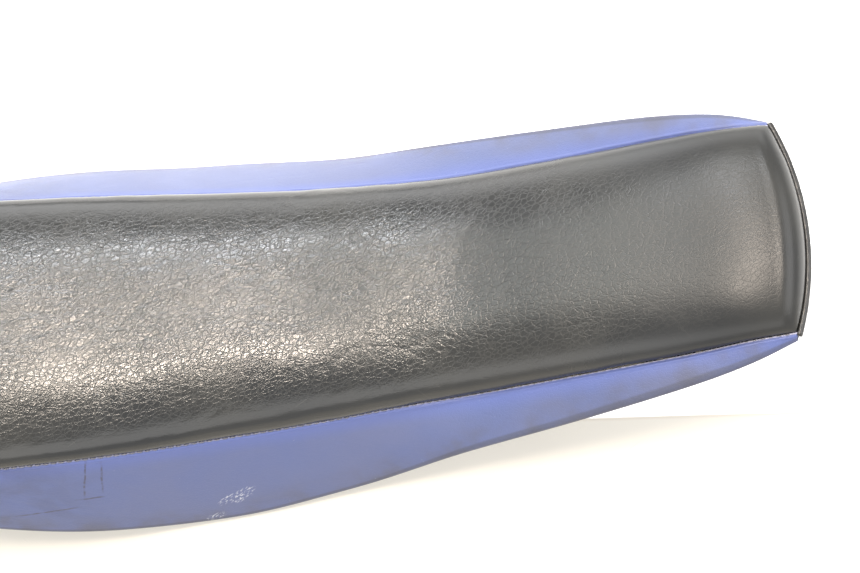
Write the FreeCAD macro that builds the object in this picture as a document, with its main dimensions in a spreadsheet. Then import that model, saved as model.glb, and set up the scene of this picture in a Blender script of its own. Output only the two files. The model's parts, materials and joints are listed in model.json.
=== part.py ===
import FreeCAD, Part

# Dual-sport motorcycle seat: a moulded plastic pan with a foam pad, a sewn vinyl cover stapled
# under the pan, and the steel and rubber fittings that hold the seat on the motorcycle.
# The origin is the middle of the slot in the tank hook, on the mid-plane of the hook plate.
# +X runs to the rear, +Y to the rider's right and +Z up. Sizes are in millimetres.

import math
import os

import Sketcher
from FreeCAD import Placement, Rotation, Vector

# Cross-sections that the cover and the pan are drawn through, from the nose to the rear corners.
STATION_SIZES = ("x", "seam_half", "seam_height", "edge_half", "edge_height", "crown", "arch")
STATIONS = {
    "nose": (-30, 40, 39, 44, 29, 20, 0),
    "horn": (0, 60, 38, 69, 16, 23, 11),
    "neck": (90, 91, 17, 115, -37, 24, 34),
    "lap": (200, 88.5, -5, 127.5, -76, 24, 35),
    "belly": (280, 83.5, -18, 125, -92, 26, 35),
    "hip": (360, 78, -26.5, 116, -85, 26, 32),
    "waist": (440, 73, -25.5, 106, -54, 26, 24),
    "rise": (520, 71, -10.5, 98, -28, 24, 16),
    "shelf": (600, 69.5, 9.5, 88, -1, 21, 9),
    "lip": (640, 67.5, 19, 79, 9, 18, 3),
    "rear": (660, 67, 19, 71, 10, 16, 0),
}

DIMENSIONS = {
    # sewn cover
    "cover_thick": 1.2,
    "crown_power": 3.0,
    "crown_rise_power": 2.4,
    "nose_roll": 22,
    "rear_roll": 13,
    "nose_bulge": 20,
    "rear_bulge": 13,
    "bulge_run": 110,
    "bend_radius": 4,
    "small_bend": 3,
    "hem_width": 16,
    "side_fullness": 0.03,
    "straight_share": 0.92,
    "seam_gap": 0.4,
    "corner_gap": 2.6,
    "least_hem": 0.3,
    "piping_radius": 2.25,
    "piping_bore": 1.55,
    "piping_proud": 1.0,
    "cord_radius": 1.5,
    "stitch_pitch": 5,
    "stitch_length": 3.2,
    "stitch_radius": 0.35,
    "stitch_proud": 0.6,
    # foam and pan
    "foam_inset": 2.8,
    "foam_foot": 8.8,
    "foam_gap": 1.0,
    "foam_last_roll": 60,
    "least_foot": 0.02,
    "pan_lift": 2,
    "pan_thick": 3,
    "flange_width": 22,
    "arch_run": 34,
    "pan_room": 400,
    "rib_thick": 2.5,
    "rib_depth": 9,
    "rib_pitch": 70,
    "rib_offset": 30,
    "boss_radius": 8,
    # staples through the hem
    "staple_pitch": 20,
    "staple_width": 10,
    "staple_wire": 0.7,
    "staple_leg": 5,
    # tank hook under the nose
    "hook_width": 46,
    "hook_front": 14,
    "hook_length": 86,
    "hook_thick": 3,
    "hook_rim": 5,
    "slot_width": 12,
    "hook_screw_front": 46,
    "hook_screw_gap": 17,
    # tongue that slips under a frame tube
    "tongue_x": 270,
    "tongue_width": 52,
    "tongue_base": 26,
    "tongue_drop": 20,
    "tongue_reach": 36,
    "tongue_thick": 3,
    "tongue_top": -64,
    "tongue_screw_half": 16,
    # side brackets with the mounting bolts
    "bracket_x": 500,
    "bracket_top": -40,
    "bracket_width": 44,
    "bracket_thick": 2.5,
    "bracket_outer": 60.5,
    "bracket_depth": 24.5,
    "bracket_leg": 43,
    "bracket_screw_half": 12,
    "bracket_screw_y": 46,
    "bolt_height": -67,
    # rubber grommet and steel collar
    "grommet_radius": 11,
    "grommet_length": 9,
    "grommet_groove": 2.6,
    "grommet_neck": 7,
    "grommet_bore": 5.05,
    "hole_radius": 7.05,
    "collar_radius": 5,
    "collar_bore": 3.3,
    "collar_flange": 8,
    "collar_flange_thick": 1.5,
    # captive M6 mounting bolt with its washer
    "bolt_radius": 3,
    "bolt_length": 25,
    "bolt_flange": 7,
    "bolt_flange_thick": 1.5,
    "bolt_hex": 10,
    "bolt_head": 5,
    "bolt_tip": 0.8,
    "washer_radius": 9,
    "washer_bore": 3.08,
    "washer_thick": 1.6,
    "face_gap": 0.05,
    # M6 screws, washers and threaded inserts that hold the steel parts to the pan
    "screw_length": 12,
    "small_washer": 6.5,
    "small_washer_thick": 1.2,
    "screw_hole": 3.3,
    "insert_radius": 4.5,
    "insert_bore": 3.05,
    "insert_length": 9,
    "screw_flange": 6,
    "screw_head": 4,
    # rubber buffers
    "front_buffer_x": 150,
    "front_buffer_half": 45,
    "front_buffer_top": -35,
    "rear_buffer_x": 560,
    "rear_buffer_half": 40,
    "rear_buffer_top": -13,
    "buffer_radius": 12,
    "buffer_height": 12,
    "buffer_chamfer": 1.2,
    "stem_radius": 4,
    "stem_length": 7,
    "stem_gap": 0.05,
}

document = FreeCAD.newDocument("motorcycle_seat")
sheet = document.addObject("Spreadsheet::Sheet", "dims")
sub_parts = []


# ---------------------------------------------------------------- driving dimensions


def fill_sheet():
    """Writes every driving dimension into the sheet as a number with an alias."""
    cells = dict(DIMENSIONS)
    for station, values in STATIONS.items():
        for column, value in zip(STATION_SIZES, values):
            cells[f"{station}_{column}"] = value
    for row, (alias, value) in enumerate(cells.items(), start=1):
        sheet.set(f"A{row}", alias)
        sheet.set(f"B{row}", str(value))
        sheet.setAlias(f"B{row}", alias)
    document.recompute()


def size(alias):
    """A driving dimension, read from the sheet."""
    return float(getattr(sheet, alias))


def station_slopes(places, values):
    """Slopes at the stations that keep the curve between them free of overshoot."""
    secants = []
    for i in range(len(places) - 1):
        secants.append((values[i + 1] - values[i]) / (places[i + 1] - places[i]))
    slopes = [secants[0]]
    for before, after in zip(secants, secants[1:]):
        same_way = before * after > 0
        slopes.append(2 * before * after / (before + after) if same_way else 0.0)
    slopes.append(secants[-1])
    return slopes


def read_tracks():
    """For each station column: the station places, the values there and the slopes."""
    places = [size(f"{station}_x") for station in STATIONS]
    tracks = {}
    for column in STATION_SIZES[1:]:
        values = [size(f"{station}_{column}") for station in STATIONS]
        tracks[column] = (places, values, station_slopes(places, values))
    return tracks


def along(column, x):
    """A station column at the distance x, on a smooth curve through the stations."""
    places, values, slopes = tracks[column]
    x = min(max(x, places[0]), places[-1])
    i = max(k for k in range(len(places) - 1) if places[k] <= x)
    span = places[i + 1] - places[i]
    t = (x - places[i]) / span
    start = (2 * t**3 - 3 * t**2 + 1) * values[i]
    end = (3 * t**2 - 2 * t**3) * values[i + 1]
    start_slope = (t**3 - 2 * t**2 + t) * span * slopes[i]
    end_slope = (t**3 - t**2) * span * slopes[i + 1]
    return start + end + start_slope + end_slope


def spread(first, last, count):
    """Evenly spaced values from first to last, both included."""
    return [first + (last - first) * i / (count - 1) for i in range(count)]


# ---------------------------------------------------------------- solids from curved sheets

CUBIC = 3


def open_knots(count, degree):
    """Knots and multiplicities of a curve that starts and ends on its outer poles."""
    knots = list(range(count - degree + 1))
    inner = [1] * (len(knots) - 2)
    return knots, [degree + 1] + inner + [degree + 1]


def pole_face(rows, row_degree=CUBIC, column_degree=CUBIC):
    """A smooth face with a grid of points as its poles, so that it never overshoots them."""
    row_knots, row_counts = open_knots(len(rows), row_degree)
    column_knots, column_counts = open_knots(len(rows[0]), column_degree)
    surface = Part.BSplineSurface()
    surface.buildFromPolesMultsKnots(rows, row_counts, column_counts, row_knots, column_knots,
                                     False, False, row_degree, column_degree)
    return surface.toShape()


def solid_between(outer_rows, inner_rows):
    """A closed solid between two curved sheets, with straight walls along their four borders."""
    faces = [pole_face(outer_rows), pole_face(inner_rows)]
    for end in (0, -1):
        faces.append(pole_face([outer_rows[end], inner_rows[end]], row_degree=1))
        outer_side = [row[end] for row in outer_rows]
        inner_side = [row[end] for row in inner_rows]
        faces.append(pole_face([outer_side, inner_side], row_degree=1))
    shell = Part.Shell(faces)
    shell.sewShape()
    solid = Part.Solid(shell)
    if solid.Volume < 0:
        solid.reverse()
    return solid


def cloth_solid(rows, thickness):
    """A cover panel: rows of (point, outward direction) thickened inwards."""
    outer_rows = [[point for point, outward in row] for row in rows]
    inner_rows = [[point - outward * thickness for point, outward in row] for row in rows]
    return solid_between(outer_rows, inner_rows)


def unit(x, y, z):
    """A direction of length one."""
    direction = Vector(x, y, z)
    direction.normalize()
    return direction


# ---------------------------------------------------------------- shape of the cover

ACROSS_POLES = 25
ACROSS = spread(-math.pi / 2, math.pi / 2, ACROSS_POLES)
ROLL_ROWS = 6
LEVEL_ROWS = 28
PANEL_ROWS = 54
WALL_ROWS = 3
BEND_ROWS = 4
HEM_ROWS = 5
SIDE_POLES = 6
APPROACHES = 12


def bulge(x):
    """How far the middle of a cross-section stands beyond its seams, towards its end."""
    run = size("bulge_run")
    nose_share = max(0.0, 1 - (x - size("nose_x")) / run)
    rear_share = max(0.0, 1 - (size("rear_x") - x) / run)
    return size("rear_bulge") * rear_share**2 - size("nose_bulge") * nose_share**2


def reach_across(angle):
    """Share of the half width at an angle over the crown, -1 at the left seam to 1 at the right."""
    return math.copysign(abs(math.sin(angle)) ** (2 / size("crown_power")), angle)


def top_row(x, roll):
    """One cross-section of the top panel, from the left seam over the crown to the right seam."""
    half = along("seam_half", x)
    crown = along("crown", x) * math.cos(roll)
    row = []
    for angle in ACROSS:
        reach = reach_across(angle)
        rise = abs(math.cos(angle)) ** (2 / size("crown_rise_power"))
        height = along("seam_height", x) + crown * rise
        point = Vector(x + bulge(x) * (1 - reach**2), reach * half, height)
        row.append((point, unit(math.sin(roll), math.sin(angle), math.cos(roll) * rise)))
    return row


def top_places(last_roll):
    """Cross-sections of the top as (x, roll): rolled at the nose, level, rolled at the rear."""
    nose_start = size("nose_x") + size("nose_roll")
    rear_start = size("rear_x") - size("rear_roll")
    rolls = spread(0, last_roll, ROLL_ROWS)[1:]
    nose = [(nose_start - size("nose_roll") * math.sin(roll), -roll) for roll in reversed(rolls)]
    level = [(x, 0.0) for x in spread(nose_start, rear_start, LEVEL_ROWS)]
    rear = [(rear_start + size("rear_roll") * math.sin(roll), roll) for roll in rolls]
    return nose + level + rear


def bend_at(x):
    """Radius of the cover's bend round the pan's edge, which tightens towards the rear end."""
    share = min(1.0, (size("rear_x") - x) / (size("rear_x") - size("shelf_x")))
    return size("small_bend") + (size("bend_radius") - size("small_bend")) * share


def flange_edge(x):
    """Half width of the pan at x."""
    return along("edge_half", x) - bend_at(x)


def hem_height(x, y):
    """Height of the hem's face under the pan at a place, which follows the bulging end rows."""
    station = x
    for _ in range(APPROACHES):
        reach = min(1.0, abs(y) / flange_edge(station))
        station = x - bulge(station) * (1 - reach**2)
    return along("edge_height", station)


def wrap_place(end, reach, half, inset):
    """Where a point of an end wrap lies, seen from above."""
    toward = -1 if end == "nose" else 1
    end_x = size(f"{end}_x")
    return end_x + bulge(end_x) * (1 - reach**2) - toward * inset, reach * half


def wrap_column(end, top_gap, reach):
    """Points of an end wrap from the seam down, round the pan's edge and along the hem."""
    toward = -1 if end == "nose" else 1
    bend = size("small_bend")
    top = size(f"{end}_seam_height") - top_gap
    top_half = size(f"{end}_seam_half") - size("seam_gap")
    bottom_half = size(f"{end}_edge_half") - size("seam_gap")
    bottom = hem_height(*wrap_place(end, reach, bottom_half - bend, bend))
    column = []
    for share in spread(0, 1, WALL_ROWS):
        half = top_half + (bottom_half - top_half) * share
        x, y = wrap_place(end, reach, half, 0.0)
        column.append((Vector(x, y, top + (bottom + bend - top) * share), unit(toward, 0, 0)))
    for lean in spread(0, math.pi / 2, BEND_ROWS)[1:]:
        inset = bend * (1 - math.cos(lean))
        x, y = wrap_place(end, reach, bottom_half - inset, inset)
        outward = unit(toward * math.cos(lean), 0, -math.sin(lean))
        column.append((Vector(x, y, bottom + bend * (1 - math.sin(lean))), outward))
    for share in spread(0, 1, HEM_ROWS)[1:]:
        inset = bend + size("hem_width") * share
        x, y = wrap_place(end, reach, bottom_half - inset, inset)
        column.append((Vector(x, y, hem_height(x, y)), Vector(0, 0, -1)))
    return column


def wrap_rows(end, top_gap):
    """The rows of the cover where it turns down an end of the seat and back under the pan."""
    columns = [wrap_column(end, top_gap, reach_across(angle)) for angle in ACROSS]
    return [list(row) for row in zip(*columns)]


def side_line(x):
    """The straight part of a side panel: seam point, direction, length and bend centre."""
    seam = (along("seam_half", x), along("seam_height", x))
    bend = bend_at(x)
    centre = (flange_edge(x), along("edge_height", x) + bend)
    across, up = centre[0] - seam[0], centre[1] - seam[1]
    distance = math.hypot(across, up)
    lean = math.atan2(up, across) + math.asin(bend / distance)
    return seam, lean, math.sqrt(distance**2 - bend**2), centre, bend


def side_point(x, share):
    """A point and its outward direction on the side panel, between the seam and the bend."""
    seam, lean, run, centre, bend = side_line(x)
    outward = Vector(0, -math.sin(lean), math.cos(lean))
    full = size("side_fullness") * run * 4 * share * (1 - share)
    point = Vector(x, seam[0] + run * share * math.cos(lean), seam[1] + run * share * math.sin(lean))
    return point + outward * full, outward


def side_hem(x):
    """Width of the side hem at x, cut away at both ends so that it stays clear of the end hems."""
    clear = size("small_bend") + size("corner_gap")
    from_nose = x - size("nose_x") - clear
    from_rear = size("rear_x") - clear - x
    return max(size("least_hem"), min(size("hem_width"), from_nose, from_rear))


def side_row(x):
    """One cross-section of the right side panel: down from the seam, round the bend, hem."""
    seam, lean, run, centre, bend = side_line(x)
    row = []
    for share in spread(size("seam_gap") / run, size("straight_share"), SIDE_POLES):
        row.append(side_point(x, share))
    for angle in spread(lean + math.pi / 2, -math.pi / 2, SIDE_POLES):
        outward = Vector(0, math.cos(angle), math.sin(angle))
        row.append((Vector(x, centre[0], centre[1]) + outward * bend, outward))
    for share in spread(0, 1, HEM_ROWS)[1:]:
        y = centre[0] - side_hem(x) * share
        row.append((Vector(x, y, hem_height(x, y)), Vector(0, 0, -1)))
    return row


# ---------------------------------------------------------------- shape of the pan and foam

PAN_POLES = len(ACROSS) + 2 * SIDE_POLES


def pan_height(x, y):
    """Underside of the pan: a level flange along each side and an arch between them."""
    inward = flange_edge(x) - size("flange_width") - abs(y)
    share = min(1.0, max(0.0, inward / size("arch_run")))
    smooth = share * share * (3 - 2 * share)
    return along("edge_height", x) + size("pan_lift") + along("arch", x) * smooth


def pan_row(x, lift, half):
    """One cross-section parallel to the pan's underside, lifted, out to a half width."""
    row = []
    for y in spread(-half, half, PAN_POLES):
        reach = y / flange_edge(x)
        row.append(Vector(x + bulge(x) * (1 - reach**2), y, pan_height(x, y) + lift))
    return row


def rib_row(x):
    """One cross-section along the lower edges of the ribs, which end level with the flange."""
    row = []
    for point in pan_row(x, -size("rib_depth"), flange_edge(x)):
        flange = hem_height(point.x, point.y) + size("pan_lift")
        row.append(Vector(point.x, point.y, max(point.z, flange)))
    return row


def pan_places():
    """Cross-sections of the pan along its length."""
    bend = size("small_bend")
    return spread(size("nose_x") + bend, size("rear_x") - bend, PANEL_ROWS)


def pan_layer(low, high):
    """A solid between two lifts above or below the pan's underside."""
    lower = [pan_row(x, low, flange_edge(x)) for x in pan_places()]
    upper = [pan_row(x, high, flange_edge(x)) for x in pan_places()]
    return solid_between(upper, lower)


def rib_plates():
    """Upright plates under the arch, before they are trimmed to the pan."""
    tall = size("pan_room")
    thick = size("rib_thick")
    plates = []
    x = size("horn_x") + size("rib_pitch") / 2
    while x < size("lip_x"):
        half = flange_edge(x) - size("flange_width")
        plates.append(Part.makeBox(thick, 2 * half, tall, Vector(x, -half, -tall / 2)))
        x += size("rib_pitch")
    length = size("shelf_x") - size("horn_x") - size("rib_pitch")
    for side in (-1, 1):
        corner = Vector(size("horn_x") + size("rib_pitch"), side * size("rib_offset"), -tall / 2)
        plates.append(Part.makeBox(length, thick, tall, corner))
    return plates


def screw_places():
    """Bottom centres of the bosses that take threaded inserts."""
    places = []
    for side in (-1, 1):
        for step in (-1, 1):
            x = size("bracket_x") + step * size("bracket_screw_half")
            places.append(Vector(x, side * size("bracket_screw_y"), size("bracket_top")))
        y = side * size("tongue_screw_half")
        places.append(Vector(size("tongue_x"), y, size("tongue_top")))
    for step in (0, 1):
        x = size("hook_screw_front") + step * size("hook_screw_gap")
        places.append(Vector(x, 0, size("hook_thick") / 2))
    return places


def buffer_places(which):
    """Top centres of a pair of rubber buffers."""
    half = size(f"{which}_buffer_half")
    return [
        Vector(size(f"{which}_buffer_x"), side * half, size(f"{which}_buffer_top"))
        for side in (-1, 1)
    ]


def pan_shape():
    """The moulded pan: arched shell, ribs, flat-ended bosses and their blind holes."""
    tall = size("pan_room")
    middle = size("pan_thick") / 2
    rib_tops = [pan_row(x, middle, flange_edge(x)) for x in pan_places()]
    rib_space = solid_between(rib_tops, [rib_row(x) for x in pan_places()])
    additions = [plate.common(rib_space) for plate in rib_plates()]
    boss_space = pan_layer(-tall, middle)
    holes = []
    for place in screw_places():
        additions.append(Part.makeCylinder(size("boss_radius"), tall, place).common(boss_space))
        holes.append(Part.makeCylinder(size("insert_radius") + size("stem_gap"),
                                       size("insert_length") + size("face_gap"), place))
    for place in buffer_places("front") + buffer_places("rear"):
        additions.append(Part.makeCylinder(size("boss_radius"), tall, place).common(boss_space))
        holes.append(Part.makeCylinder(size("stem_radius") + size("stem_gap"),
                                       size("stem_length") + size("face_gap"), place))
    pan = pan_layer(0, size("pan_thick")).fuse(additions)
    return pan.cut(Part.makeCompound(holes))


def foam_row(x, roll):
    """One cross-section of the foam's upper surface, from the left foot to the right foot."""
    inset = size("foam_inset")
    top = [point - outward * inset for point, outward in top_row(x, roll)]
    seam, lean, run, centre, bend = side_line(x)
    foot_height = along("edge_height", x) + size("foam_foot")
    foot_share = max(size("least_foot"), (seam[1] - foot_height) / (-run * math.sin(lean)))
    right = []
    for share in spread(0, foot_share, SIDE_POLES + 1)[1:]:
        point, outward = side_point(x, share)
        right.append(point - outward * inset)
    left = [Vector(point.x, -point.y, point.z) for point in reversed(right)]
    return left + top + right


def foam_shape():
    """The foam pad, between the pan and the cover, with a small gap all round."""
    places = top_places(math.radians(size("foam_last_roll")))
    upper = [foam_row(x, roll) for x, roll in places]
    lift = size("pan_thick") + size("foam_gap")
    lower = [pan_row(x, lift, row[-1].y) for (x, roll), row in zip(places, upper)]
    return solid_between(upper, lower)


# ---------------------------------------------------------------- document objects


def keep(part, label):
    """Names a sub-part; its label is also the name of its file."""
    part.Label = label
    sub_parts.append(part)
    return part


def shaped_part(label, shape):
    """A sub-part whose free-form shape comes from curved sheets."""
    part = document.addObject("Part::Feature", label)
    part.Shape = shape
    part.Placement = Placement()
    return keep(part, label)


def mirrored_part(source, label):
    """The left-hand twin of a right-hand part."""
    part = document.addObject("Part::Mirroring", label)
    part.Source = source
    part.Normal = Vector(0, 1, 0)
    part.Base = Vector(0, 0, 0)
    return keep(part, label)


def bind_place(part, x="0", y="0", z="0"):
    """Binds a part's position to expressions over the sheet."""
    for axis, expression in zip("xyz", (x, y, z)):
        part.setExpression(f"Placement.Base.{axis}", f"({expression}) * 1 mm")


def bind(part, **expressions):
    """Binds a primitive's sizes to expressions over the sheet."""
    for name, expression in expressions.items():
        part.setExpression(name, f"({expression}) * 1 mm")


def new_sketch(body, name, role):
    """A sketch on one of the body's own origin planes."""
    sketch = body.newObject("Sketcher::SketchObject", name)
    plane = next(item for item in body.Origin.OriginFeatures if item.Role == role)
    sketch.AttachmentSupport = (plane, [""])
    sketch.MapMode = "FlatFace"
    return sketch


def bind_distance(sketch, kind, geometry, point, expression):
    """Holds a sketch point at a distance from the sketch's origin along one direction."""
    value = float(sheet.evalExpression(expression))
    constraint = Sketcher.Constraint(kind, -1, 1, geometry, point, value)
    index = sketch.addConstraint(constraint)
    name = f"{kind}_{geometry}"
    sketch.renameConstraint(index, name)
    sketch.setExpression(f"Constraints.{name}", f"({expression}) * 1 mm")


def add_polygon(sketch, corners):
    """A closed outline whose corners are pairs of expressions over the sheet."""
    points = []
    for across, up in corners:
        points.append(Vector(sheet.evalExpression(across), sheet.evalExpression(up), 0))
    first = sketch.GeometryCount
    for start, end in zip(points, points[1:] + points[:1]):
        sketch.addGeometry(Part.LineSegment(start, end), False)
    for i, (across, up) in enumerate(corners):
        following = first + (i + 1) % len(corners)
        sketch.addConstraint(Sketcher.Constraint("Coincident", first + i, 2, following, 1))
        bind_distance(sketch, "DistanceX", first + i, 1, across)
        bind_distance(sketch, "DistanceY", first + i, 1, up)


def add_circle(sketch, across, up, radius):
    """A circle whose centre and radius are expressions over the sheet."""
    centre = Vector(sheet.evalExpression(across), sheet.evalExpression(up), 0)
    circle = Part.Circle(centre, Vector(0, 0, 1), float(sheet.evalExpression(radius)))
    number = sketch.addGeometry(circle, False)
    bind_distance(sketch, "DistanceX", number, 3, across)
    bind_distance(sketch, "DistanceY", number, 3, up)
    index = sketch.addConstraint(Sketcher.Constraint("Radius", number, circle.Radius))
    sketch.renameConstraint(index, f"radius_{number}")
    sketch.setExpression(f"Constraints.radius_{number}", f"({radius}) * 1 mm")


def add_pad(body, sketch, length, both_sides=False):
    """Extrudes a sketch along its normal, or equally to both sides of its plane."""
    pad = body.newObject("PartDesign::Pad", f"{sketch.Name}_pad")
    pad.Profile = sketch
    pad.setExpression("Length", f"({length}) * 1 mm")
    pad.Midplane = both_sides
    sketch.Visibility = False
    return pad


def add_through_cut(body, sketch):
    """Cuts a sketch's outlines through the whole body, on both sides of its plane."""
    pocket = body.newObject("PartDesign::Pocket", f"{sketch.Name}_cut")
    pocket.Profile = sketch
    pocket.Type = "ThroughAll"
    pocket.Midplane = True
    return pocket


# Difference in mm up to which two sizes or places count as the same.
SAME_SIZE = 0.1


def corner_edges(body, axis, place, thickness):
    """Names of the straight edges through a plate's thickness at a place along one of its axes."""
    document.recompute()
    names = []
    for number, edge in enumerate(body.Shape.Edges, start=1):
        middle = edge.valueAt((edge.FirstParameter + edge.LastParameter) / 2)
        found = getattr(body.Placement.inverse() * middle, axis)
        straight = edge.Curve.TypeId == "Part::GeomLine"
        through = abs(edge.Length - thickness) < SAME_SIZE
        if straight and through and abs(found - place) < SAME_SIZE:
            names.append(f"Edge{number}")
    return names


def round_edges(body, names, radius):
    """Rounds the named edges of a body's last feature."""
    rounded = body.Tip
    fillet = body.newObject("PartDesign::Fillet", f"{body.Name}_rounding")
    fillet.Base = (rounded, names)
    fillet.setExpression("Radius", f"({radius}) * 1 mm")
    return fillet


def turned_body(label, profile):
    """A body of revolution about its own Z axis, from a half profile of (radius, height)."""
    body = document.addObject("PartDesign::Body", label)
    sketch = new_sketch(body, f"{label}_profile", "XZ_Plane")
    add_polygon(sketch, profile)
    turning = body.newObject("PartDesign::Revolution", f"{label}_turning")
    turning.Profile = sketch
    turning.ReferenceAxis = (sketch, ["V_Axis"])
    turning.Angle = 360
    return body


# ---------------------------------------------------------------- soft parts and the pan


def make_cover():
    """The four panels of the sewn cover."""
    thick = size("cover_thick")
    rows = list(reversed(wrap_rows("nose", 0.0)[1:]))
    rows += [top_row(x, roll) for x, roll in top_places(math.pi / 2)]
    shaped_part("top_cover_panel", cloth_solid(rows, thick))
    gap = size("corner_gap")
    places = spread(size("nose_x") + gap, size("rear_x") - gap, PANEL_ROWS)
    right = cloth_solid([side_row(x) for x in places], thick)
    right_panel = shaped_part("right_side_panel", right)
    mirrored_part(right_panel, "left_side_panel")
    below_piping = 2 * (size("piping_radius") + size("face_gap"))
    rear = cloth_solid(wrap_rows("rear", below_piping), thick)
    shaped_part("rear_end_panel", rear)


def make_piping():
    """The welt round the rear edge: a vinyl sleeve over a cord, both bent to the same arc."""
    half = size("rear_seam_half")
    rise = size("rear_bulge")
    arc_radius = (half**2 + rise**2) / (2 * rise)
    half_angle = math.degrees(math.asin(half / arc_radius))
    rings = {}
    for name, radius in (("sleeve", "piping_radius"), ("bore", "piping_bore"), ("cord", "cord_radius")):
        ring = document.addObject("Part::Torus", f"piping_{name}")
        reach = "dims.rear_seam_half"
        bow = "dims.rear_bulge"
        bind(ring, Radius1=f"({reach} ^ 2 + {bow} ^ 2) / (2 * {bow}) + dims.piping_proud")
        bind(ring, Radius2=f"dims.{radius}")
        ring.Angle3 = 2 * half_angle
        centre_x = size("rear_x") + rise - arc_radius
        lowered = size("piping_radius") + size("face_gap")
        place = Vector(centre_x, 0, size("rear_seam_height") - lowered)
        ring.Placement = Placement(place, Rotation(Vector(0, 0, 1), -half_angle))
        rings[name] = ring
    sleeve = document.addObject("Part::Cut", "rear_piping")
    sleeve.Base = rings["sleeve"]
    sleeve.Tool = rings["bore"]
    keep(sleeve, "rear_piping")
    keep(rings["cord"], "piping_cord")


def make_stitches():
    """The stitches along each side seam, lying in the groove between the panels."""
    proud = size("stitch_proud")
    first = size("nose_x") + size("nose_roll")
    count = int((size("rear_x") - first) // size("stitch_pitch"))
    stitches = []
    for number in range(count):
        start_x = first + number * size("stitch_pitch")
        ends = []
        for x in (start_x, start_x + size("stitch_length")):
            ends.append(Vector(x, along("seam_half", x) + proud, along("seam_height", x) + proud))
        direction = ends[1] - ends[0]
        stitch = Part.makeCylinder(size("stitch_radius"), direction.Length, ends[0], direction)
        stitches.append(stitch)
    right = shaped_part("right_seam_stitches", Part.makeCompound(stitches))
    mirrored_part(right, "left_seam_stitches")


def staple_at(x, y, along_x):
    """One wire staple through the hem into the pan's flange."""
    width, wire, leg = size("staple_width"), size("staple_wire"), size("staple_leg")
    crown = Part.makeBox(width, wire, wire, Vector(-width / 2, -wire / 2, -wire))
    legs = []
    for corner in (-width / 2, width / 2 - wire):
        legs.append(Part.makeBox(wire, wire, leg, Vector(corner, -wire / 2, -wire)))
    staple = crown.fuse(legs)
    step = size("staple_width") / 2
    ahead, behind = hem_height(x + step, y), hem_height(x - step, y)
    tilt = Rotation(Vector(0, 1, 0), -math.degrees(math.atan2(ahead - behind, 2 * step)))
    turn = Rotation() if along_x else Rotation(Vector(0, 0, 1), 90)
    staple.Placement = Placement(Vector(x, y, hem_height(x, y)), tilt * turn)
    return staple


def make_staples():
    """Staples in a row round the whole edge of the pan."""
    pitch = size("staple_pitch")
    middle = size("hem_width") / 2
    staples = []
    count = int((size("rear_x") - size("nose_x")) // pitch) - 1
    for number in range(1, count + 1):
        x = size("nose_x") + number * pitch
        for side in (-1, 1):
            staples.append(staple_at(x, side * (flange_edge(x) - middle), True))
    inset = size("small_bend") + middle
    for end in ("nose", "rear"):
        half = size(f"{end}_edge_half") - inset
        count = int(half // pitch)
        for number in range(-count, count + 1):
            x, y = wrap_place(end, number * pitch / half, half, inset)
            staples.append(staple_at(x, y, False))
    shaped_part("cover_staples", Part.makeCompound(staples))


# ---------------------------------------------------------------- steel parts

HEX_SIDES = 6


def make_tank_hook():
    """Steel plate with an open slot that slides round a stud behind the fuel tank."""
    body = document.addObject("PartDesign::Body", "tank_hook")
    front, rear = "-dims.hook_front", "dims.hook_length - dims.hook_front"
    half = "dims.hook_width / 2"
    outline = new_sketch(body, "hook_outline", "XY_Plane")
    add_polygon(outline, [
        (f"{front} + dims.slot_width / 2", f"-{half}"),
        (rear, f"-{half}"),
        (rear, half),
        (f"{front} + dims.slot_width / 2", half),
        (front, f"{half} - dims.slot_width / 2"),
        (front, f"-{half} + dims.slot_width / 2"),
    ])
    add_pad(body, outline, "dims.hook_thick", both_sides=True)
    for side, sign in (("right", ""), ("left", "-")):
        rim = new_sketch(body, f"hook_rim_{side}", "XY_Plane")
        outer, inner = f"{sign}({half})", f"{sign}({half} - dims.hook_thick)"
        add_polygon(rim, [("dims.slot_width", outer), (rear, outer), (rear, inner),
                          ("dims.slot_width", inner)])
        add_pad(body, rim, "dims.hook_rim")
    mouth = new_sketch(body, "hook_mouth", "XY_Plane")
    beyond = f"{front} - dims.slot_width / 2"
    add_polygon(mouth, [(beyond, "-dims.slot_width / 2"), ("0", "-dims.slot_width / 2"),
                        ("0", "dims.slot_width / 2"), (beyond, "dims.slot_width / 2")])
    add_through_cut(body, mouth)
    holes = new_sketch(body, "hook_holes", "XY_Plane")
    add_circle(holes, "0", "0", "dims.slot_width / 2")
    add_circle(holes, "dims.hook_screw_front", "0", "dims.screw_hole")
    add_circle(holes, "dims.hook_screw_front + dims.hook_screw_gap", "0", "dims.screw_hole")
    add_through_cut(body, holes)
    keep(body, "tank_hook")


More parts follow.
